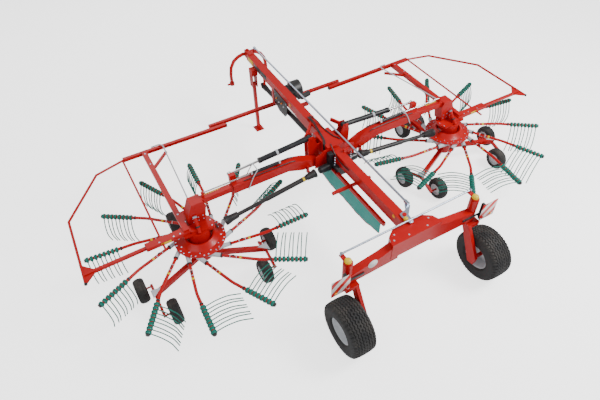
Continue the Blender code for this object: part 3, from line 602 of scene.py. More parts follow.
@dataclass
class Rotor(Sided):
    """One rake rotor: turned head, cast sockets, twelve bent tine arms and their spring wires."""

    x: float = ROTOR_X
    arms: int = 12
    phases: "dict[int, float]" = field(default_factory=lambda: {1: 0.779, -1: 0.4807})  # of the first arm
    reach: float = 1.726
    tip_z: float = 0.756
    arm_radius: float = 0.024
    arm_start: float = 0.390
    bend: float = 0.980  # where the arm turns, along its straight part
    bend_half: float = 0.060
    offset: float = 0.250  # of the straight part from the rotor's axis
    lead: float = 4.85  # degrees from the tip's direction to the straight part's
    socket_radius: float = 0.038
    socket_ends: "tuple[float, float]" = (0.050, 0.425)
    socket_z: float = 0.690
    level_at: float = 0.150  # where along it the straight part is at socket_z
    bore: float = 0.0225  # of what is clamped round an arm, so that it sinks in a little
    tines: int = 8
    first_tine: float = 0.275  # from the bend
    tine_step: float = 0.0625
    coil_radius: float = 0.038
    coil_width: float = 0.020
    wire_radius: float = 0.0085
    leg: float = 0.570
    lean: float = 0.011  # of one leg of a pair from the other, at its end
    lift_azimuth: "tuple[float, ...]" = (20, 45, 75, 105, 135, 165, 195, 215)
    lift_degrees: "tuple[float, ...]" = (0, 30, 80, 85, 80, 60, 30, 0)

    def line(self, angle: float, s: float) -> Array:
        """A point of an arm's straight part: centre + offset x normal + s x direction, rising with s.

        Args:
            angle: the arm's place round the rotor.
            s: distance along the straight part.
        Returns:
            The point.
        """
        along = angle + math.radians(self.lead)
        slope = (self.tip_z - self.socket_z) / (self.reach - self.level_at)
        return np.array((self.x + self.offset * math.sin(along) + s * math.cos(along),
                         -self.offset * math.cos(along) + s * math.sin(along),
                         self.socket_z + slope * (s - self.level_at)))

    def tip(self, angle: float) -> Array:
        """End of the arm, on the rotor's reach circle."""
        return np.array((self.x + self.reach * math.cos(angle), self.reach * math.sin(angle), self.tip_z))

    def tine_roots(self, angle: float) -> "tuple[Array, Array]":
        """Middles of an arm's tine holders: bend + direction x (first + k step).

        Args:
            angle: the arm's place round the rotor.
        Returns:
            (one row a holder, direction of the arm's outer part).
        """
        bend = self.line(angle, self.bend)
        out = unit(self.tip(angle) - bend)
        return bend + out * (self.first_tine + self.tine_step * np.arange(self.tines))[:, None], out

    def socket(self, angle: float, straight: Array) -> "list[Surface]":
        """Cast socket of an arm: an outline with a raised middle, and the black lip at its mouth.

        Args:
            angle: the arm's place round the rotor.
            straight: direction of the arm's straight part.
        Returns:
            Socket and lip.
        """
        inner, outer = (self.line(angle, s) for s in self.socket_ends)
        length, r = float(np.linalg.norm(outer - inner)), self.socket_radius
        casting = [(0, r * 0.80), (0.008, r), (length * 0.42, r), (length * 0.47, r * 1.12),
                   (length * 0.53, r * 1.12), (length * 0.58, r), (length - 0.03, r * 0.92),
                   (length, r * 0.84), (length, r * 0.5)]
        lip = [(-0.009, r * 0.7), (-0.009, r * 0.98), (-0.006, r * 1.05), (0.006, r * 1.05),
               (0.009, r * 0.98), (0.009, r * 0.7)]
        return [turned(casting, inner, straight, 14, 1),
                turned(lip, self.line(angle, self.socket_ends[1] - 0.005), straight, 16, 2, closed=True)]

    def arm(self, angle: float) -> Surface:
        """One arm: a tube bent by a quadratic curve, and what sits on it.

        Args:
            angle: the arm's place round the rotor.
        Returns:
            Tube, socket, bands, latch, tine holders and end cap.
        """
        start, bend, tip = self.line(angle, self.arm_start), self.line(angle, self.bend), self.tip(angle)
        straight, out = unit(bend - start), unit(tip - bend)
        t = np.linspace(0, 1, 7)[:, None]
        elbow = ((1 - t)**2 * (bend - self.bend_half * straight) + 2 * t * (1 - t) * bend
                 + t**2 * (bend + self.bend_half * out))
        parts = [swept(np.vstack([start, elbow, tip - 0.004 * out]), self.arm_radius, 12, 0)]
        parts += self.socket(angle, straight)
        for s, width, finish in ((0.555, 0.012, 1), (0.655, 0.012, 1), (0.720, 0.034, 3)):
            span, radii = (-width / 2, width / 2), (self.bore, 0.0258)
            parts.append(band(span, radii, self.line(angle, s), straight, 14, finish))
        latch = self.line(angle, 0.605) + 0.030 * UPWARD
        handle = np.array([latch - 0.022 * straight, latch + 0.006 * UPWARD, latch + 0.022 * straight])
        parts.append(swept(handle, (0.008, 0.011, 0.008), 8, 2))
        holder = [(-0.019, self.bore), (-0.019, 0.0370), (-0.014, 0.0400), (0.014, 0.0400), (0.019, 0.0370),
                  (0.019, self.bore)]
        parts += [turned(holder, root, out, 12, 4, closed=True) for root in self.tine_roots(angle)[0]]
        cap = [(-0.030, self.bore), (-0.030, 0.0295), (0.002, 0.0295), (0.006, 0.024), (0.006, 0.010)]
        parts.append(turned(cap, tip, out, 12, 2))
        parts.append(band((-0.012, 0.012), (self.bore, 0.031), bend + 0.205 * out, out, 12, 2))
        return Surface.join(parts)

    def wires(self, angle: float) -> Surface:
        """Spring wires of one arm: a helix of two turns round it, then a bowed leg turned by the cam's lift.

        Args:
            angle: the arm's place round the rotor, which sets the lift.
        Returns:
            One wire for each holder, every other one leaning the other way.
        """
        roots, out = self.tine_roots(angle)
        trail = unit(np.cross(UPWARD, out))
        azimuth = math.degrees(angle) % 360
        lift = math.radians(float(np.interp(azimuth, self.lift_azimuth, self.lift_degrees)))
        c, s = math.cos(lift), math.sin(lift)
        t = np.linspace(0, 1, 13)
        bow = np.interp(t, (0.0, 0.30, 0.55, 0.70, 0.85, 1.0), (0.0, 0.075, 0.098, 0.092, 0.066, 0.040))
        down = 0.010 - self.leg * t
        leg = trail * (bow * c - down * s)[:, None] + UPWARD * (bow * s + down * c)[:, None]
        turns = np.linspace(-4.0 * np.pi, 0, 25)
        coil = (out * (self.coil_width * turns / (4.0 * np.pi))[:, None]
                + trail * (self.coil_radius * np.cos(turns))[:, None]
                + UPWARD * (self.coil_radius * np.sin(turns))[:, None])
        parts = []
        for k, root in enumerate(roots):
            lean = out * (self.lean * (1 if k % 2 else -1) * t[1:])[:, None]
            parts.append(swept(np.vstack([root + coil, root + leg[1:] + lean]), self.wire_radius, 5, 0))
        return Surface.join(parts)

    def head(self) -> "list[Surface]":
        """The head, an outline turned about the rotor's axis, with three bolts to an arm on two circles."""
        outline = [(0.630, 0.068), (0.630, 0.262), (0.638, 0.270), (0.727, 0.272), (0.733, 0.280),
                   (0.733, 0.392), (0.737, 0.400), (0.753, 0.400), (0.757, 0.394), (0.757, 0.306),
                   (0.762, 0.296), (0.826, 0.240), (0.835, 0.230), (0.835, 0.212), (0.828, 0.206),
                   (0.772, 0.200), (0.770, 0.190), (0.770, 0.068)]
        parts = [turned(outline, (self.x, 0.0, 0.0), UPWARD, 96, 0, closed=True)]
        count = 3 * self.arms
        for i in range(count):
            a = self.phases[self.side] + (i + 0.32) * 2 * math.pi / count
            radius = (0.376, 0.376, 0.324)[i % 3]
            place = (self.x + radius * math.cos(a), radius * math.sin(a), 0.757)
            parts.append(bolt(place, UPWARD, 0.0095, 1))
        return parts

    def build(self) -> None:
        """Builds arms, head and wires in the CAD rotor's place."""
        angles = self.phases[self.side] + np.arange(self.arms) * 2 * math.pi / self.arms
        painted = [RED, CASTING, BLACK, YELLOW, TEAL]
        stand_in(f"rotor_{self.label}",
                 self.make("tine_arms", [self.arm(a) for a in angles], painted, "rake"),
                 self.make("rotor_head", self.head(), [RED, ZINC], "rake"),
                 self.make("tine_wires", [self.wires(a) for a in angles], WIRE, "rake"))


# ================================================================ wheels

@dataclass
class RoadWheel(Sided):
    """Rear wheel: block-tread tyre and pressed rim."""

    x: float = 1.254
    y: float = 2.315
    radius: float = 0.425
    width: float = 0.38
    bead: float = 0.214
    lugs: int = 44
    depth: float = 0.013

    def tyre(self) -> Surface:
        """Ring outline turned in fine steps: the radius drops by the depth where the groove masks are 1.

        Returns:
            A closed ring. Masks: zigzag grooves round the crown, notches across the shoulders.
        """
        half = self.width / 2
        knots = np.array([(-half * 0.80, self.bead + 0.0006), (-half * 0.97, self.bead + 0.020),
                          (-half, self.bead + 0.055), (-half, self.radius * 0.80),
                          (-half * 0.95, self.radius * 0.90), (-half * 0.84, self.radius * 0.962)])
        steps = np.linspace(0, 5, 26)
        shoulder = np.stack([np.interp(steps, np.arange(6), knots[:, k]) for k in (0, 1)], -1)
        across = np.linspace(-half * 0.80, half * 0.80, 58)
        crown = np.stack([across, self.radius * (1 - 0.032 * np.abs(across / (half * 0.84))**2.6)], -1)
        outline = np.vstack([shoulder, crown, shoulder[::-1] * (-1, 1)])
        angle = np.linspace(0, 2 * np.pi, self.lugs * 8, endpoint=False)
        a, r = outline[:, :1], outline[:, 1:]
        share = a / half
        saw = (self.lugs * angle[None] / (2 * np.pi) + 0.5 * (share > 0)) % 1.0
        rib = np.abs(((share + 0.045 * (4 * np.abs(saw - 0.5) - 1)) * 4.5) % 1.0 - 0.5)
        grooves = np.clip((rib - 0.34) / 0.08, 0, 1) * (np.abs(share) < 0.80)
        notches = np.clip((np.abs(saw - 0.5) - 0.30) / 0.08, 0, 1) * (np.abs(share) >= 0.76)
        tread = np.clip((r - self.radius * 0.86) / 0.012, 0, 1)
        sunk = r - self.depth * tread * np.maximum(grooves, notches)
        points = np.stack([self.x + np.broadcast_to(a, sunk.shape), self.y + sunk * np.sin(angle),
                           self.radius + sunk * np.cos(angle)], -1)
        return grid(points, 0, loop=True)

    def rim(self) -> "list[Surface]":
        """Drop-centre rim with a dished disc, a hub cap and six bolts, turned about the axle."""
        half, bead = self.width / 2, self.bead
        centre = np.array((self.x, self.y, self.radius))
        outline = [(-half * 0.78, bead - 0.015), (-half * 0.80, bead - 0.004), (-half * 0.76, bead - 0.0005),
                   (-half * 0.45, bead - 0.003), (half * 0.45, bead - 0.003), (half * 0.76, bead - 0.0005),
                   (half * 0.80, bead - 0.004), (half * 0.78, bead - 0.015), (half * 0.40, bead - 0.024),
                   (0.060, bead - 0.034), (0.034, 0.160), (0.040, 0.135), (0.030, 0.115), (0.055, 0.098),
                   (0.060, 0.075), (0.055, 0.0306), (-0.020, 0.0306), (-0.020, 0.09), (0.005, 0.115),
                   (0.015, bead - 0.038)]
        cap = [(0.040, 0.030), (0.085, 0.0295), (0.094, 0.022), (0.096, 0.006)]
        parts = [turned(outline, centre, LEFTWARD, 96, 0, closed=True), turned(cap, centre, LEFTWARD, 32, 0)]
        for a in np.arange(6) * math.pi / 3 + 0.3:
            place = centre + np.array((0.034, 0.140 * math.sin(a), 0.140 * math.cos(a)))
            parts.append(bolt(place, LEFTWARD, 0.012, 1))
        return parts

    def build(self) -> None:
        """Builds tyre and rim in place of the CAD ones."""
        tyre = self.make("road_tyre", [self.tyre()], TYRE, "rear_wheel", angle=28)
        rim = self.make("road_rim", self.rim(), [SILVER, ZINC], "rear_wheel")
        stand_in(f"rear_tyre_{self.label}", tyre)
        stand_in(f"rear_rim_{self.label}", rim)


@dataclass
class RakeWheel(Sided):
    """One small running wheel under a rotor: rounded ribbed tyre on a silver disc."""

    place: str
    x: float
    y: float
    radius: float = 0.2025
    width: float = 0.165

    def tyre(self) -> Array:
        """Outline of the tyre: crown radius falls with the 2.8th power across, with three shallow grooves."""
        half = self.width / 2
        a = np.linspace(-half * 0.88, half * 0.88, 33)
        r = self.radius * (1 - 0.12 * np.abs(a / (half * 0.88))**2.8)
        r = r - 0.004 * (np.cos(a / half * 3 * math.pi) < -0.62)
        wall = np.array([(-0.075, 0.112), (-half, 0.128), (-half, 0.160)])
        bore = [(0.052, 0.106), (-0.052, 0.106)]
        return np.vstack([wall, np.stack([a, r], -1), wall[::-1] * (-1, 1), bore])

    def build(self) -> None:
        """Turns tyre and disc in the CAD wheel's place."""
        centre = np.array((self.x, self.y, self.radius))
        disc = [(-0.070, 0.110), (-0.062, 0.1045), (-0.034, 0.096), (-0.044, 0.048), (-0.044, 0.0175),
                (0.044, 0.0175), (0.044, 0.048), (0.034, 0.096), (0.062, 0.1045), (0.070, 0.110),
                (0.050, 0.1135), (-0.050, 0.1135)]
        parts = [turned(self.tyre(), centre, LEFTWARD, 56, 0, closed=True),
                 turned(disc, centre, LEFTWARD, 48, 1, closed=True)]
        stand_in(f"rotor_wheel_{self.place}_{self.label}",
                 self.make(f"rake_wheel_{self.place}", parts, [TYRE, SILVER], f"wheel_{self.place}"))


# ================================================================ curtain, boards and lamps

@dataclass
class SwathCurtain:
    """The hanging swath sheet: a thin cloth with soft folds and a red hem."""

    x: float = 0.130
    top: float = 1.0757
    corners: "tuple[tuple[float, float], ...]" = ((-0.52, 0.76), (0.10, 0.72), (1.05, 0.73), (1.40, 0.82),
                                                  (1.42, 0.84))  # y and height of the lower edge
    drop: float = 0.3557  # at its deepest
    thickness: float = 0.003

    def bottom(self, y: Array) -> Array:
        """Height of the lower edge: straight runs between its corners."""
        return np.interp(y, *np.array(self.corners).T)

    def strip(self, low: float, high: float, thickness: float) -> "list[Surface]":
        """Cloth between two shares of the height: x = sum of three waves along y, times height share^1.3.

        Args:
            low: upper edge, as a share of the height from the top.
            high: lower edge.
            thickness: of the cloth.
        Returns:
            One closed sheet, front and back.
        """
        y = np.linspace(self.corners[0][0], self.corners[-1][0], 150)
        yy, vv = np.meshgrid(y, np.linspace(low, high, 26), indexing="ij")
        z = self.top + (self.bottom(yy) - self.top) * vv
        waves = 0.0045 * np.sin(9.0 * yy + 0.6) + 0.0020 * np.sin(23.0 * yy + 1.9) + 0.0012 * np.sin(41 * yy)
        x = self.x + vv**1.3 * waves
        front, back = (np.stack([x + t, yy, z], -1) for t in (thickness / 2, -thickness / 2))
        return [grid(np.concatenate([front, back[:, ::-1]], axis=1))]

    def build(self) -> None:
        cloth = make_piece("swath_sheet", *self.strip(0.0, 1.0, self.thickness), SHEET, "chassis", angle=60)
        hem = make_piece("swath_hem", *self.strip(0.955, 1.008, 2 * self.thickness), RED, "chassis", angle=60)
        stand_in("swath_curtain", cloth, hem)


@dataclass
class RearMarking(Sided):
    """Striped board and lamp lenses at the rear axle's end."""

    low: "tuple[float, float]" = (1.152, 1.032)  # x and z of the board's corners
    high: "tuple[float, float]" = (1.448, 1.368)
    corner: float = 0.012
    faces: "tuple[float, float]" = (2.1106, 2.1142)
    lamps: "tuple[float, float]" = (1.215, 1.375)
    lamp_z: float = 1.080

    def outline(self) -> Array:
        """The board's outline: a rectangle whose corners are quarter circles, anticlockwise."""
        (x0, z0), (x1, z1), r = self.low, self.high, self.corner
        centres = ((x1 - r, z1 - r), (x0 + r, z1 - r), (x0 + r, z0 + r), (x1 - r, z0 + r))
        a = np.radians(90 * np.arange(4)[:, None] + np.linspace(0, 90, 5))
        return (np.array(centres)[:, None] + r * np.stack([np.cos(a), np.sin(a)], -1)).reshape(-1, 2)

    def build(self) -> None:
        """Builds the board in place of the CAD plate, and a red and an amber lens on the lamp box."""
        ring = self.outline()
        layers = [np.insert(ring, 1, y, axis=1) for y in self.faces]
        board = self.make("marking_board", [grid(np.array(layers))], BOARD, "chassis", smooth=False)
        stand_in(f"warning_board_{self.label}", board)
        lens = [(0, 0.021), (0.006, 0.020), (0.010, 0.012), (0.011, 0.003)]
        places = [(x, self.faces[1] + 0.0003, self.lamp_z) for x in self.lamps]
        lenses = [turned(lens, place, REARWARD, 24, which) for which, place in enumerate(places)]
        self.make("tail_lenses", lenses, [RUBY, AMBER], "chassis")


# ================================================================ trim

@dataclass
class FrameTrim:
    """Small things on the chassis: bolts, blank plates, hoses, reflectors and caps."""

    front_side: float = 0.0755  # side faces of the front beam, rear beam, cross frame and hose panel
    rear_side: float = 0.0705
    cross_side: float = 0.1505
    panel_side: float = 0.0875
    hull_top: float = 1.4004
    hull_back: float = 2.0450
    plate: float = 0.0016
    hose_radius: float = 0.0088

    def labels(self) -> None:
        """Blank plates on the front beam's sides and a white disc on the hull."""
        plates = []
        for y0, y1, z0, z1, which in ((-3.12, -2.91, 1.462, 1.558, 0), (-2.86, -2.34, 1.436, 1.538, 1)):
            for side in SIDES:
                x = side * self.front_side
                plates.append(block((x, y0, z0), (x + side * self.plate, y1, z1), 0.0006, which))
        plates.append(turned([(0, 0.078), (0.0014, 0.078)], (0.74, self.hull_back, 1.215), REARWARD, 48, 2))
        make_piece("beam_labels", Surface.join(plates), [YELLOW, DECAL, WHITE], "chassis", smooth=False)

    def reflectors(self) -> None:
        """Round amber reflectors turned from a shallow lens outline."""
        lens = [(0, 0.030), (0.006, 0.029), (0.010, 0.020), (0.011, 0.004)]
        places = ((self.front_side, -1.42, 1.432), (self.rear_side, 1.60, 1.36))
        parts = [turned(lens, (x * side, y, z), (side, 0, 0), 24) for side in SIDES for x, y, z in places]
        make_piece("beam_reflectors", Surface.join(parts), AMBER, "chassis")

    def hoses(self) -> None:
        """Black hoses clipped over the cross frame: smooth lines through their clips."""
        right = np.array([(0.030, -0.88, 1.510), (0.040, -0.78, 1.529), (0.050, -0.66, 1.527),
                          (0.060, -0.52, 1.490), (0.075, -0.40, 1.4805), (0.100, -0.27, 1.4805),
                          (0.135, -0.19, 1.4805), (0.158, -0.165, 1.468), (0.1605, -0.155, 1.420),
                          (0.160, -0.150, 1.330)])
        left = [(-0.010, -0.88, 1.510), (-0.030, -0.78, 1.529), (-0.045, -0.66, 1.520),
                (-0.055, -0.52, 1.485), (-0.070, -0.38, 1.4805), (-0.090, -0.25, 1.4805),
                (-0.125, -0.18, 1.4805), (-0.140, -0.13, 1.4805)]
        loop = [(0.055, -0.10, 1.4755), (0.075, -0.06, 1.490), (0.080, 0.00, 1.455), (0.0795, 0.06, 1.400),
                (0.0795, 0.16, 1.350), (0.0795, 0.30, 1.335), (0.0795, 0.46, 1.350)]
        fade = np.linspace(1, 0, len(right))[:, None]
        parts = []
        for gap in (0.0, 0.022):
            line = right + (0.0, gap * 1.4, 0.0) + (-gap, 0.0, 0.0) * fade
            parts.append(swept(curve_through(line, 8), self.hose_radius, 10))
        parts.append(swept(curve_through(left, 8), self.hose_radius, 10))
        parts.append(swept(curve_through(loop, 8), 0.0085, 10))
        make_piece("beam_hoses", Surface.join(parts), BLACK, "chassis")

    def fasteners(self) -> None:
        """Bolt groups on the cross frame, beam and hull, and the couplings on the hose panel."""
        parts = []
        for side in SIDES:
            parts += [bolt((side * self.cross_side, y, z), (side, 0, 0), 0.011)
                      for y in (-0.52, 0.18) for z in (1.28, 1.33, 1.38, 1.43)]
            x, rise, size = (self.panel_side, 0.0, 0.009) if side > 0 else (self.front_side, 0.10, 0.008)
            parts += [bolt((side * x, y, z + rise), (side, 0, 0), size)
                      for y in (-1.98, -1.57) for z in (1.13, 1.36)]
        for x, y in ((0.30, 1.90), (-0.30, 1.90), (0.12, 2.00), (-0.20, 2.00), (0.36, 1.98)):
            parts.append(bolt((x, y, self.hull_top), UPWARD, 0.010, 2))
        coupling = [(0, 0.016), (0.010, 0.016), (0.014, 0.012), (0.026, 0.011), (0.029, 0.006)]
        for k, y in enumerate((-1.92, -1.82, -1.72, -1.64)):
            place = (self.panel_side - 0.0003, y, 1.30 - 0.03 * (k % 2))
            parts.append(turned(coupling, place, LEFTWARD, 16, 1 + k % 2))
        make_piece("frame_fasteners", Surface.join(parts), [ZINC, ORANGE, CASTING], "chassis")

    def build(self) -> None:
        """Builds all of the chassis trim."""
        for step in (self.labels, self.reflectors, self.hoses, self.fasteners):
            step()


@dataclass
class ArmTrim(Sided):
    """Dressing of one side's lift arm, lift cylinder, carrier, guard, drive shaft and undercarriage."""

    lift_pin: "tuple[float, float, float]" = (0.32, -0.069, 1.21)
    slide: "tuple[float, float, float]" = (0.0, -0.1475, 1.478)  # on the width cylinder's line, along x
    bore: float = 0.0225
    bow_y: "tuple[float, float]" = (-0.0600, -0.2350)
    hose_y: "tuple[float, float]" = (-0.195, -0.095)
    cylinder_foot: "tuple[float, float, float]" = (0.330, -0.315, 1.570)
    cylinder_eye: "tuple[float, float, float]" = (1.760, -0.315, 1.475)
    shaft_foot: "tuple[float, float, float]" = (0.300, 0.045, 1.150)
    shaft_end: "tuple[float, float, float]" = (2.160, 0.045, 0.900)
    crank_top: "tuple[float, float, float]" = (2.495, -0.025, 1.175)
    crank_foot: "tuple[float, float, float]" = (2.51, 0.13, 0.985)
    gusset_z: "tuple[float, float]" = (0.3826, 0.3900)
    axle_z: float = 0.2025

    def lift(self) -> None:
        """Wishbone (two bowed rods and a bar), pin cap, hoses and the silver cylinder on the lift arm."""
        t = np.linspace(0, 1, 21)
        bow = np.stack([1.39 + 0.18 * t, np.zeros(21), 1.58 - 0.32 * t + 0.03 * np.sin(np.pi * t)], -1)
        bar = np.array([(1.39, -0.235, 1.58), (1.39, -0.14, 1.582), (1.39, -0.060, 1.58)])
        parts = [swept(bow + (0, y, 0), 0.008, 8) for y in self.bow_y] + [swept(bar, 0.008, 8)]
        cap = [(0, 0.030), (0.010, 0.030), (0.016, 0.024), (0.018, 0.006)]
        parts.append(turned(cap, self.lift_pin, REARWARD, 24))
        hose = np.array([(0.72, 0, 1.418), (0.80, 0, 1.439), (0.96, 0, 1.441), (1.30, -0.002, 1.440),
                         (1.62, 0, 1.441)])
        parts += [swept(curve_through(hose + (0, y, 0), 10), 0.009, 10, 1) for y in self.hose_y]
        for x in (0.962, 1.448):
            parts.append(band((x, x + 0.03), (self.bore, 0.0265), self.slide, LEFTWARD, 20))
        parts.append(band((0.990, 1.450), (self.bore, 0.0258), self.slide, LEFTWARD, 24, 2))
        self.make("lift_arm_trim", parts, [CASTING, BLACK, BLACK_PAINT], "lift")

    def cylinder(self) -> None:
        """Pale gland, black end band and pin cap on the lift cylinder's barrel."""
        start = np.array(self.cylinder_foot)
        d = unit(self.cylinder_eye - start)
        parts = [band((-0.018, 0.018), (0.0430, 0.0485), start + d * s, d, 28, finish)
                 for s, finish in ((0.60, 0), (0.905, 1))]
        cap = [(0, 0.024), (0.008, 0.024), (0.012, 0.016)]
        parts.append(turned(cap, start + (0, 0.035, 0), REARWARD, 20))
        self.make("cylinder_bands", parts, [CASTING, BLACK], "barrel")

    def carrier(self) -> None:
        """Scale strip, guard rod, ribbed piston rod, bolts and column label on the carrier."""
        rod = [(2.53, -2.05, 1.095), (2.36, -1.97, 1.13), (2.37, -1.60, 1.16), (2.42, -0.90, 1.215),
               (2.46, -0.34, 1.25), (2.47, -0.246, 1.26)]
        s = np.linspace(1.495, 2.250, 260)
        ribs = np.stack([s, 0.0115 + 0.0004 * np.cos(2 * np.pi * s / 0.018)], -1)
        piston = np.vstack([[(s[0], 0.0100)], ribs, [(s[-1], 0.0100)]])
        parts = [block((1.99, -0.1980, 1.3990), (2.24, -0.1700, 1.4003), 0.0001),
                 swept(curve_through(rod, 10), 0.011, 10, 1),
                 turned(piston, self.slide, LEFTWARD, 14, 4, closed=True)]
        parts += [bolt((x, -0.0498, z), REARWARD, 0.010, 2) for x in (2.36, 2.44, 2.52) for z in (1.06, 1.13)]
        parts.append(block((2.40, -0.2463, 1.20), (2.52, -0.2452, 1.30), 0.0005, 3))
        self.make("carrier_trim", parts, [SCALE, CASTING, ZINC, YELLOW, CHROME], "carrier")

    def gearbox(self) -> None:
        """Cover bolts, height crank's nut and collars on the rotor's gearbox."""
        parts = [bolt((ROTOR_X + 0.225 * math.cos(a), 0.225 * math.sin(a), 0.9997), UPWARD, 0.0095)
                 for a in np.linspace(2.75, 5.3, 6)]
        foot = np.array(self.crank_foot)
        d = unit(self.crank_top - foot)
        nut = [(-0.004, 0.034), (0.004, 0.036), (0.022, 0.036), (0.028, 0.028), (0.030, 0.008)]
        parts.append(turned(nut, self.crank_top, d, 6))
        parts.append(band((-0.012, 0.012), (0.027, 0.036), foot + 0.10 * d, d, 20, 1))
        parts.append(band((0, 0.020), (0.029, 0.040), (2.21, 0.045, 0.900), LEFTWARD, 24, 1))
        self.make("rotor_head_fittings", parts, [ZINC, BLACK], "carrier")

    def guard(self) -> None:
        """End caps, blank root labels and bolts on the guard frame."""
        outer_end = np.array([(4.2055, 0.205, 1.0436), (4.206, 0.228, 1.0430), (4.2062, 0.236, 1.0429)])
        inner_end = np.array([(1.110, -2.0062, 1.0398), (1.124, -2.0060, 1.0400), (1.130, -2.0059, 1.0401)])
        parts = [block((2.93, -0.0362, 1.012), (3.08, -0.0352, 1.055), 0.0005, 1),
                 block((2.93, 0.0852, 1.012), (3.08, 0.0862, 1.055), 0.0005, 1),
                 swept(outer_end, (0.0225, 0.0225, 0.014), 10),
                 block((3.2985, -0.034, 1.002), (3.3045, 0.084, 1.064), 0.002),
                 swept(inner_end, (0.040, 0.0425, 0.040), 4)]
        top = 1.1225  # of the tube at y = -2.0, from which it falls rearwards
        parts += [bolt((2.68, y, top - 0.017 * (y + 2.0)), UPWARD, 0.010, 2) for y in (-1.90, -1.60, -0.30)]
        parts += [bolt((x, 0.055, 1.0655), UPWARD, 0.0095, 2) for x in (2.78, 2.88, 3.10)]
        self.make("guard_trim", parts, [BLACK, YELLOW, ZINC], "carrier")

    @staticmethod
    def boot(length: float, steps: int, start: float, taper: float, pitch: float,
             swell: "tuple[float, float, float]", ends: "tuple[float, float]") -> Array:
        """Outline of a ribbed boot: a cone, plus a cosine for the ribs, plus one bell-shaped swelling.

        Args:
            length: along the shaft.
            steps: points along it.
            start: radius at its start.
            taper: radius gained for each metre.
            pitch: of the ribs.
            swell: height, place and width of the swelling.
            ends: bore at the start and at the end.
        Returns:
            Rows of (along, radius), closed round the bore.
        """
        s = np.linspace(0, length, steps)
        height, place, width = swell
        bulge = height * np.exp(-((s - place) / width)**2)
        radius = start + taper * s + 0.0030 * np.cos(2 * np.pi * s / pitch) + bulge
        return np.vstack([[(0.0, ends[0])], np.stack([s, radius], -1), [(length + 0.002, ends[1])]])

    def shafts(self) -> None:
        """Ribbed boots and a blank yellow label on the drive shaft's two halves."""
        start = np.array(self.shaft_foot)
        d = unit(self.shaft_end - start)
        inner_boot = self.boot(0.165, 45, 0.0645, -0.075, 0.0236, (0.010, 0.02, 0.028), (0.0400, 0.0385))
        rotor_boot = self.boot(0.215, 55, 0.0520, 0.055, 0.0239, (0.012, 0.18, 0.05), (0.030, 0.040))
        self.make("shaft_boot", [turned(inner_boot, start + 0.132 * d, d, 36, 0, closed=True),
                                 band((0, 0.035), (0.0380, 0.0411), start + 0.345 * d, d, 28, 1)],
                  [BLACK, YELLOW], "shaft_outer")
        self.make("shaft_boot_rotor", [turned(rotor_boot, start + 1.572 * d, d, 36, 0, closed=True)], BLACK,
                  "shaft_inner")

    def undercarriage(self) -> None:
        """Pale nuts on the wheel axles' ends, and a bolted corner plate on each rocker."""
        nut = [(0.044, 0.015), (0.0465, 0.021), (0.056, 0.021), (0.060, 0.014)]
        parts = [turned(nut, (x, y, self.axle_z), (way, 0, 0), 6) for x, y, way in RAKE_WHEELS.values()]
        triangle = np.array(((-0.115, -0.055), (0.045, -0.075), (0.045, 0.085)))
        bolts = ((-0.07, -0.045), (0.02, -0.05), (0.02, 0.04))
        for x, y, way in ((ROTOR_X + 0.935, 0.355, 1), (ROTOR_X - 0.89, 0.425, -1)):
            corners = (x, y) + triangle * (way, 1)
            parts.append(grid(np.array([np.insert(corners, 2, z, axis=1) for z in self.gusset_z]), 1))
            parts += [bolt((x + way * bx, y + by, self.gusset_z[1]), UPWARD, 0.009) for bx, by in bolts]
        self.make("axle_nuts", parts, [ZINC, CASTING], "carrier")

    def build(self) -> None:
        """Builds this side's trim."""
        for step in (self.lift, self.cylinder, self.carrier, self.gearbox, self.guard, self.shafts,
                     self.undercarriage):
            step()


@dataclass
class SteeringTrim:
    """Yellow caps on the bell crank's pin and the king pins."""

    bell_pin: "tuple[float, float]" = (0.010, 1.780)
    king_pin: "tuple[float, float]" = (1.105, 1.971)
    sink: float = 0.0005  # into the face below

    @staticmethod
    def dome(radius: float, height: float) -> "list[tuple[float, float]]":
        """Half outline of a cap: straight side, then a quarter ellipse.

        Args:
            radius: of the cap.
            height: of the cap.
        Returns:
            (along, radius) from the rim to the crown.
        """
        a = np.linspace(0, 0.46 * np.pi, 8)
        return [(0.0, radius)] + [(height * (0.45 + 0.55 * math.sin(v)), radius * math.cos(v)) for v in a]

    def build(self) -> None:
        """Builds the caps on the bodies they turn with, seated on the CAD nodes' top faces."""
        x, y = self.bell_pin
        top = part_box("bell_crank")[1][2] - self.sink
        make_piece("bell_cap", turned(self.dome(0.034, 0.042), (x, y, top), UPWARD, 32), YELLOW, "bell")
        x, y = self.king_pin
        for side, label in SIDES.items():
            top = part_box(f"steering_knuckle_{label}")[1][2] - self.sink
            cap = turned(self.dome(0.050, 0.055), (side * x, y, top), UPWARD, 36)
            make_piece(f"king_pin_cap_{label}", cap, YELLOW, f"knuckle_{label}")


# ================================================================ the studio

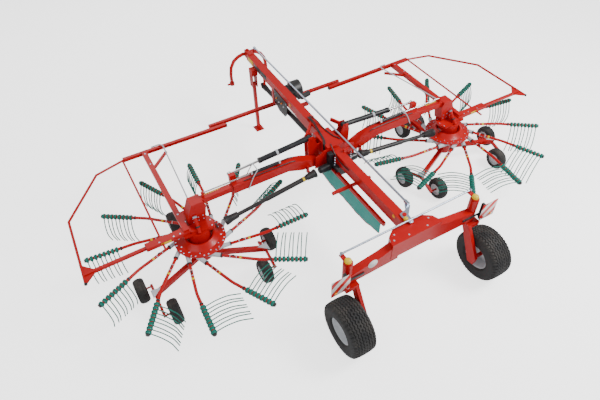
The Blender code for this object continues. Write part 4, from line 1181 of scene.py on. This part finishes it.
@dataclass
class Studio:
    """Camera, plain floor and soft lights."""

    place: "tuple[float, float, float]" = (3.425, 5.3215, 6.608)
    yaw: float = 151.4714
    down: float = 46.5924
    roll: float = -2.00786
    lens: float = 29.28
    floor_radius: float = 80.0
    floor_z: float = -0.0015
    floor_steps: int = 96

    def camera(self) -> None:
        """Camera from its place and three angles: its axes are the columns of its matrix."""
        yaw, down, roll = (math.radians(v) for v in (self.yaw, self.down, self.roll))
        look = Vector((-math.sin(yaw) * math.cos(down), math.cos(yaw) * math.cos(down), -math.sin(down)))
        level = look.cross(Vector(UPWARD)).normalized()
        rise = level.cross(look)
        right = math.cos(roll) * level + math.sin(roll) * rise
        up = -math.sin(roll) * level + math.cos(roll) * rise
        matrix = Matrix((right, up, -look)).transposed().to_4x4()
        matrix.translation = Vector(self.place)
        data = bpy.data.cameras.new("view")
        data.lens = self.lens
        data.sensor_width = 36.0
        camera = bpy.data.objects.new("view", data)
        camera.matrix_world = matrix
        bpy.context.scene.collection.objects.link(camera)
        bpy.context.scene.camera = camera

    def floor(self) -> None:
        """A wide flat disc just under the ground, in rings, that glows where the camera sees it."""
        count = self.floor_steps
        radius = np.linspace(2.0, self.floor_radius, 24)[:, None]
        angle = np.linspace(0, 2 * np.pi, count, endpoint=False)
        x, y = radius * np.cos(angle), radius * np.sin(angle)
        sheet = grid(np.stack([x, y, np.full(x.shape, self.floor_z)], -1), caps=False)
        faces = [*sheet.faces[0].tolist(), list(range(count))]
        mesh = bpy.data.meshes.new("studio_floor")
        mesh.from_pydata(sheet.points.tolist(), [], faces)
        material = FLOOR.build()
        graph = Graph(material.node_tree)
        shader = graph.tree.nodes["Principled BSDF"].inputs
        shader["Emission Color"].default_value = (1.0, 1.0, 1.0, 1.0)
        seen = graph.add("LightPath").outputs["Is Camera Ray"]
        graph.tree.links.new(graph.maths("MULTIPLY_ADD", seen, 1.9, 0.15), shader["Emission Strength"])
        mesh.materials.append(material)
        floor = bpy.data.objects.new("studio_floor", mesh)
        bpy.context.scene.collection.objects.link(floor)

    def lights(self) -> None:
        """A key light, a fill and a rim light aimed at the machine's middle, and an even sky."""
        target = Vector((0, 0, 0.6))
        for name, place, size, power in (("key", (-6.0, 5.0, 9.0), 4.0, 1250),
                                         ("fill", (8.0, 3.0, 7.5), 6.0, 260),
                                         ("rim", (1.0, -9.0, 8.0), 7.0, 300)):
            data = bpy.data.lights.new(name, "AREA")
            data.size = size
            data.energy = power
            lamp = bpy.data.objects.new(name, data)
            lamp.location = place
            lamp.rotation_euler = (target - Vector(place)).to_track_quat("-Z", "Y").to_euler()
            bpy.context.scene.collection.objects.link(lamp)
        world = bpy.data.worlds.new("sky")
        world.use_nodes = True
        back = world.node_tree.nodes["Background"].inputs
        back["Color"].default_value = (1.0, 1.0, 1.0, 1.0)
        back["Strength"].default_value = 0.50
        bpy.context.scene.world = world

    def build(self) -> None:
        """Builds the studio."""
        self.camera()
        self.floor()
        self.lights()


class CadDress:
    """Finish and edge width of each CAD node that stays in sight."""

    finishes: "dict[str, tuple[Finish, float]]" = {
        "main_frame": (RED, 0.006), "rear_axle": (RED, 0.006), "gearbox": (BLACK_PAINT, 0.005),
        "pto_shaft": (BLACK, 0.003), "centre_guard": (RED, 0.003), "hose_panel": (BLACK, 0.002),
        "storage_drum": (BLACK, 0.006), "curtain_rail": (RED, 0.002), "parking_stand": (RED, 0.003),
        "headstock_yoke": (RED, 0.005), "steering_rod": (ZINC, 0.003), "bell_crank": (ZINC, 0.003),
        "tie_rod": (ZINC, 0.003)}
    sided: "dict[str, tuple[Finish, float]]" = {
        "lamp_bracket": (BLACK, 0.002), "steering_knuckle": (RED, 0.004), "lift_arm": (RED, 0.005),
        "cylinder_barrel": (BLACK_PAINT, 0.002), "cylinder_rod": (CHROME, 0.001), "carrier_arm": (RED, 0.004),
        "rotor_gearbox": (RED, 0.004), "guard": (RED, 0.003), "undercarriage": (RED, 0.005),
        "drive_shaft_outer": (BLACK, 0.0), "drive_shaft_inner": (BLACK, 0.0)}

    def build(self) -> None:
        """Dresses each node."""
        for name, (finish, width) in self.finishes.items():
            dress_node(name, finish, width)
        for name, (finish, width) in self.sided.items():
            for label in SIDES.values():
                dress_node(f"{name}_{label}", finish, width)


def main() -> None:
    """Builds every piece in turn."""
    logging.basicConfig(level=logging.INFO, format="%(name)s %(message)s")
    CadDress().build()
    for side in SIDES:
        Rotor(side).build()
        RoadWheel(side).build()
        for place, (x, y, _) in RAKE_WHEELS.items():
            RakeWheel(side, place, x, y).build()
        RearMarking(side).build()
        ArmTrim(side).build()
    SwathCurtain().build()
    FrameTrim().build()
    SteeringTrim().build()
    Studio().build()


if __name__ == "__main__":
    main()
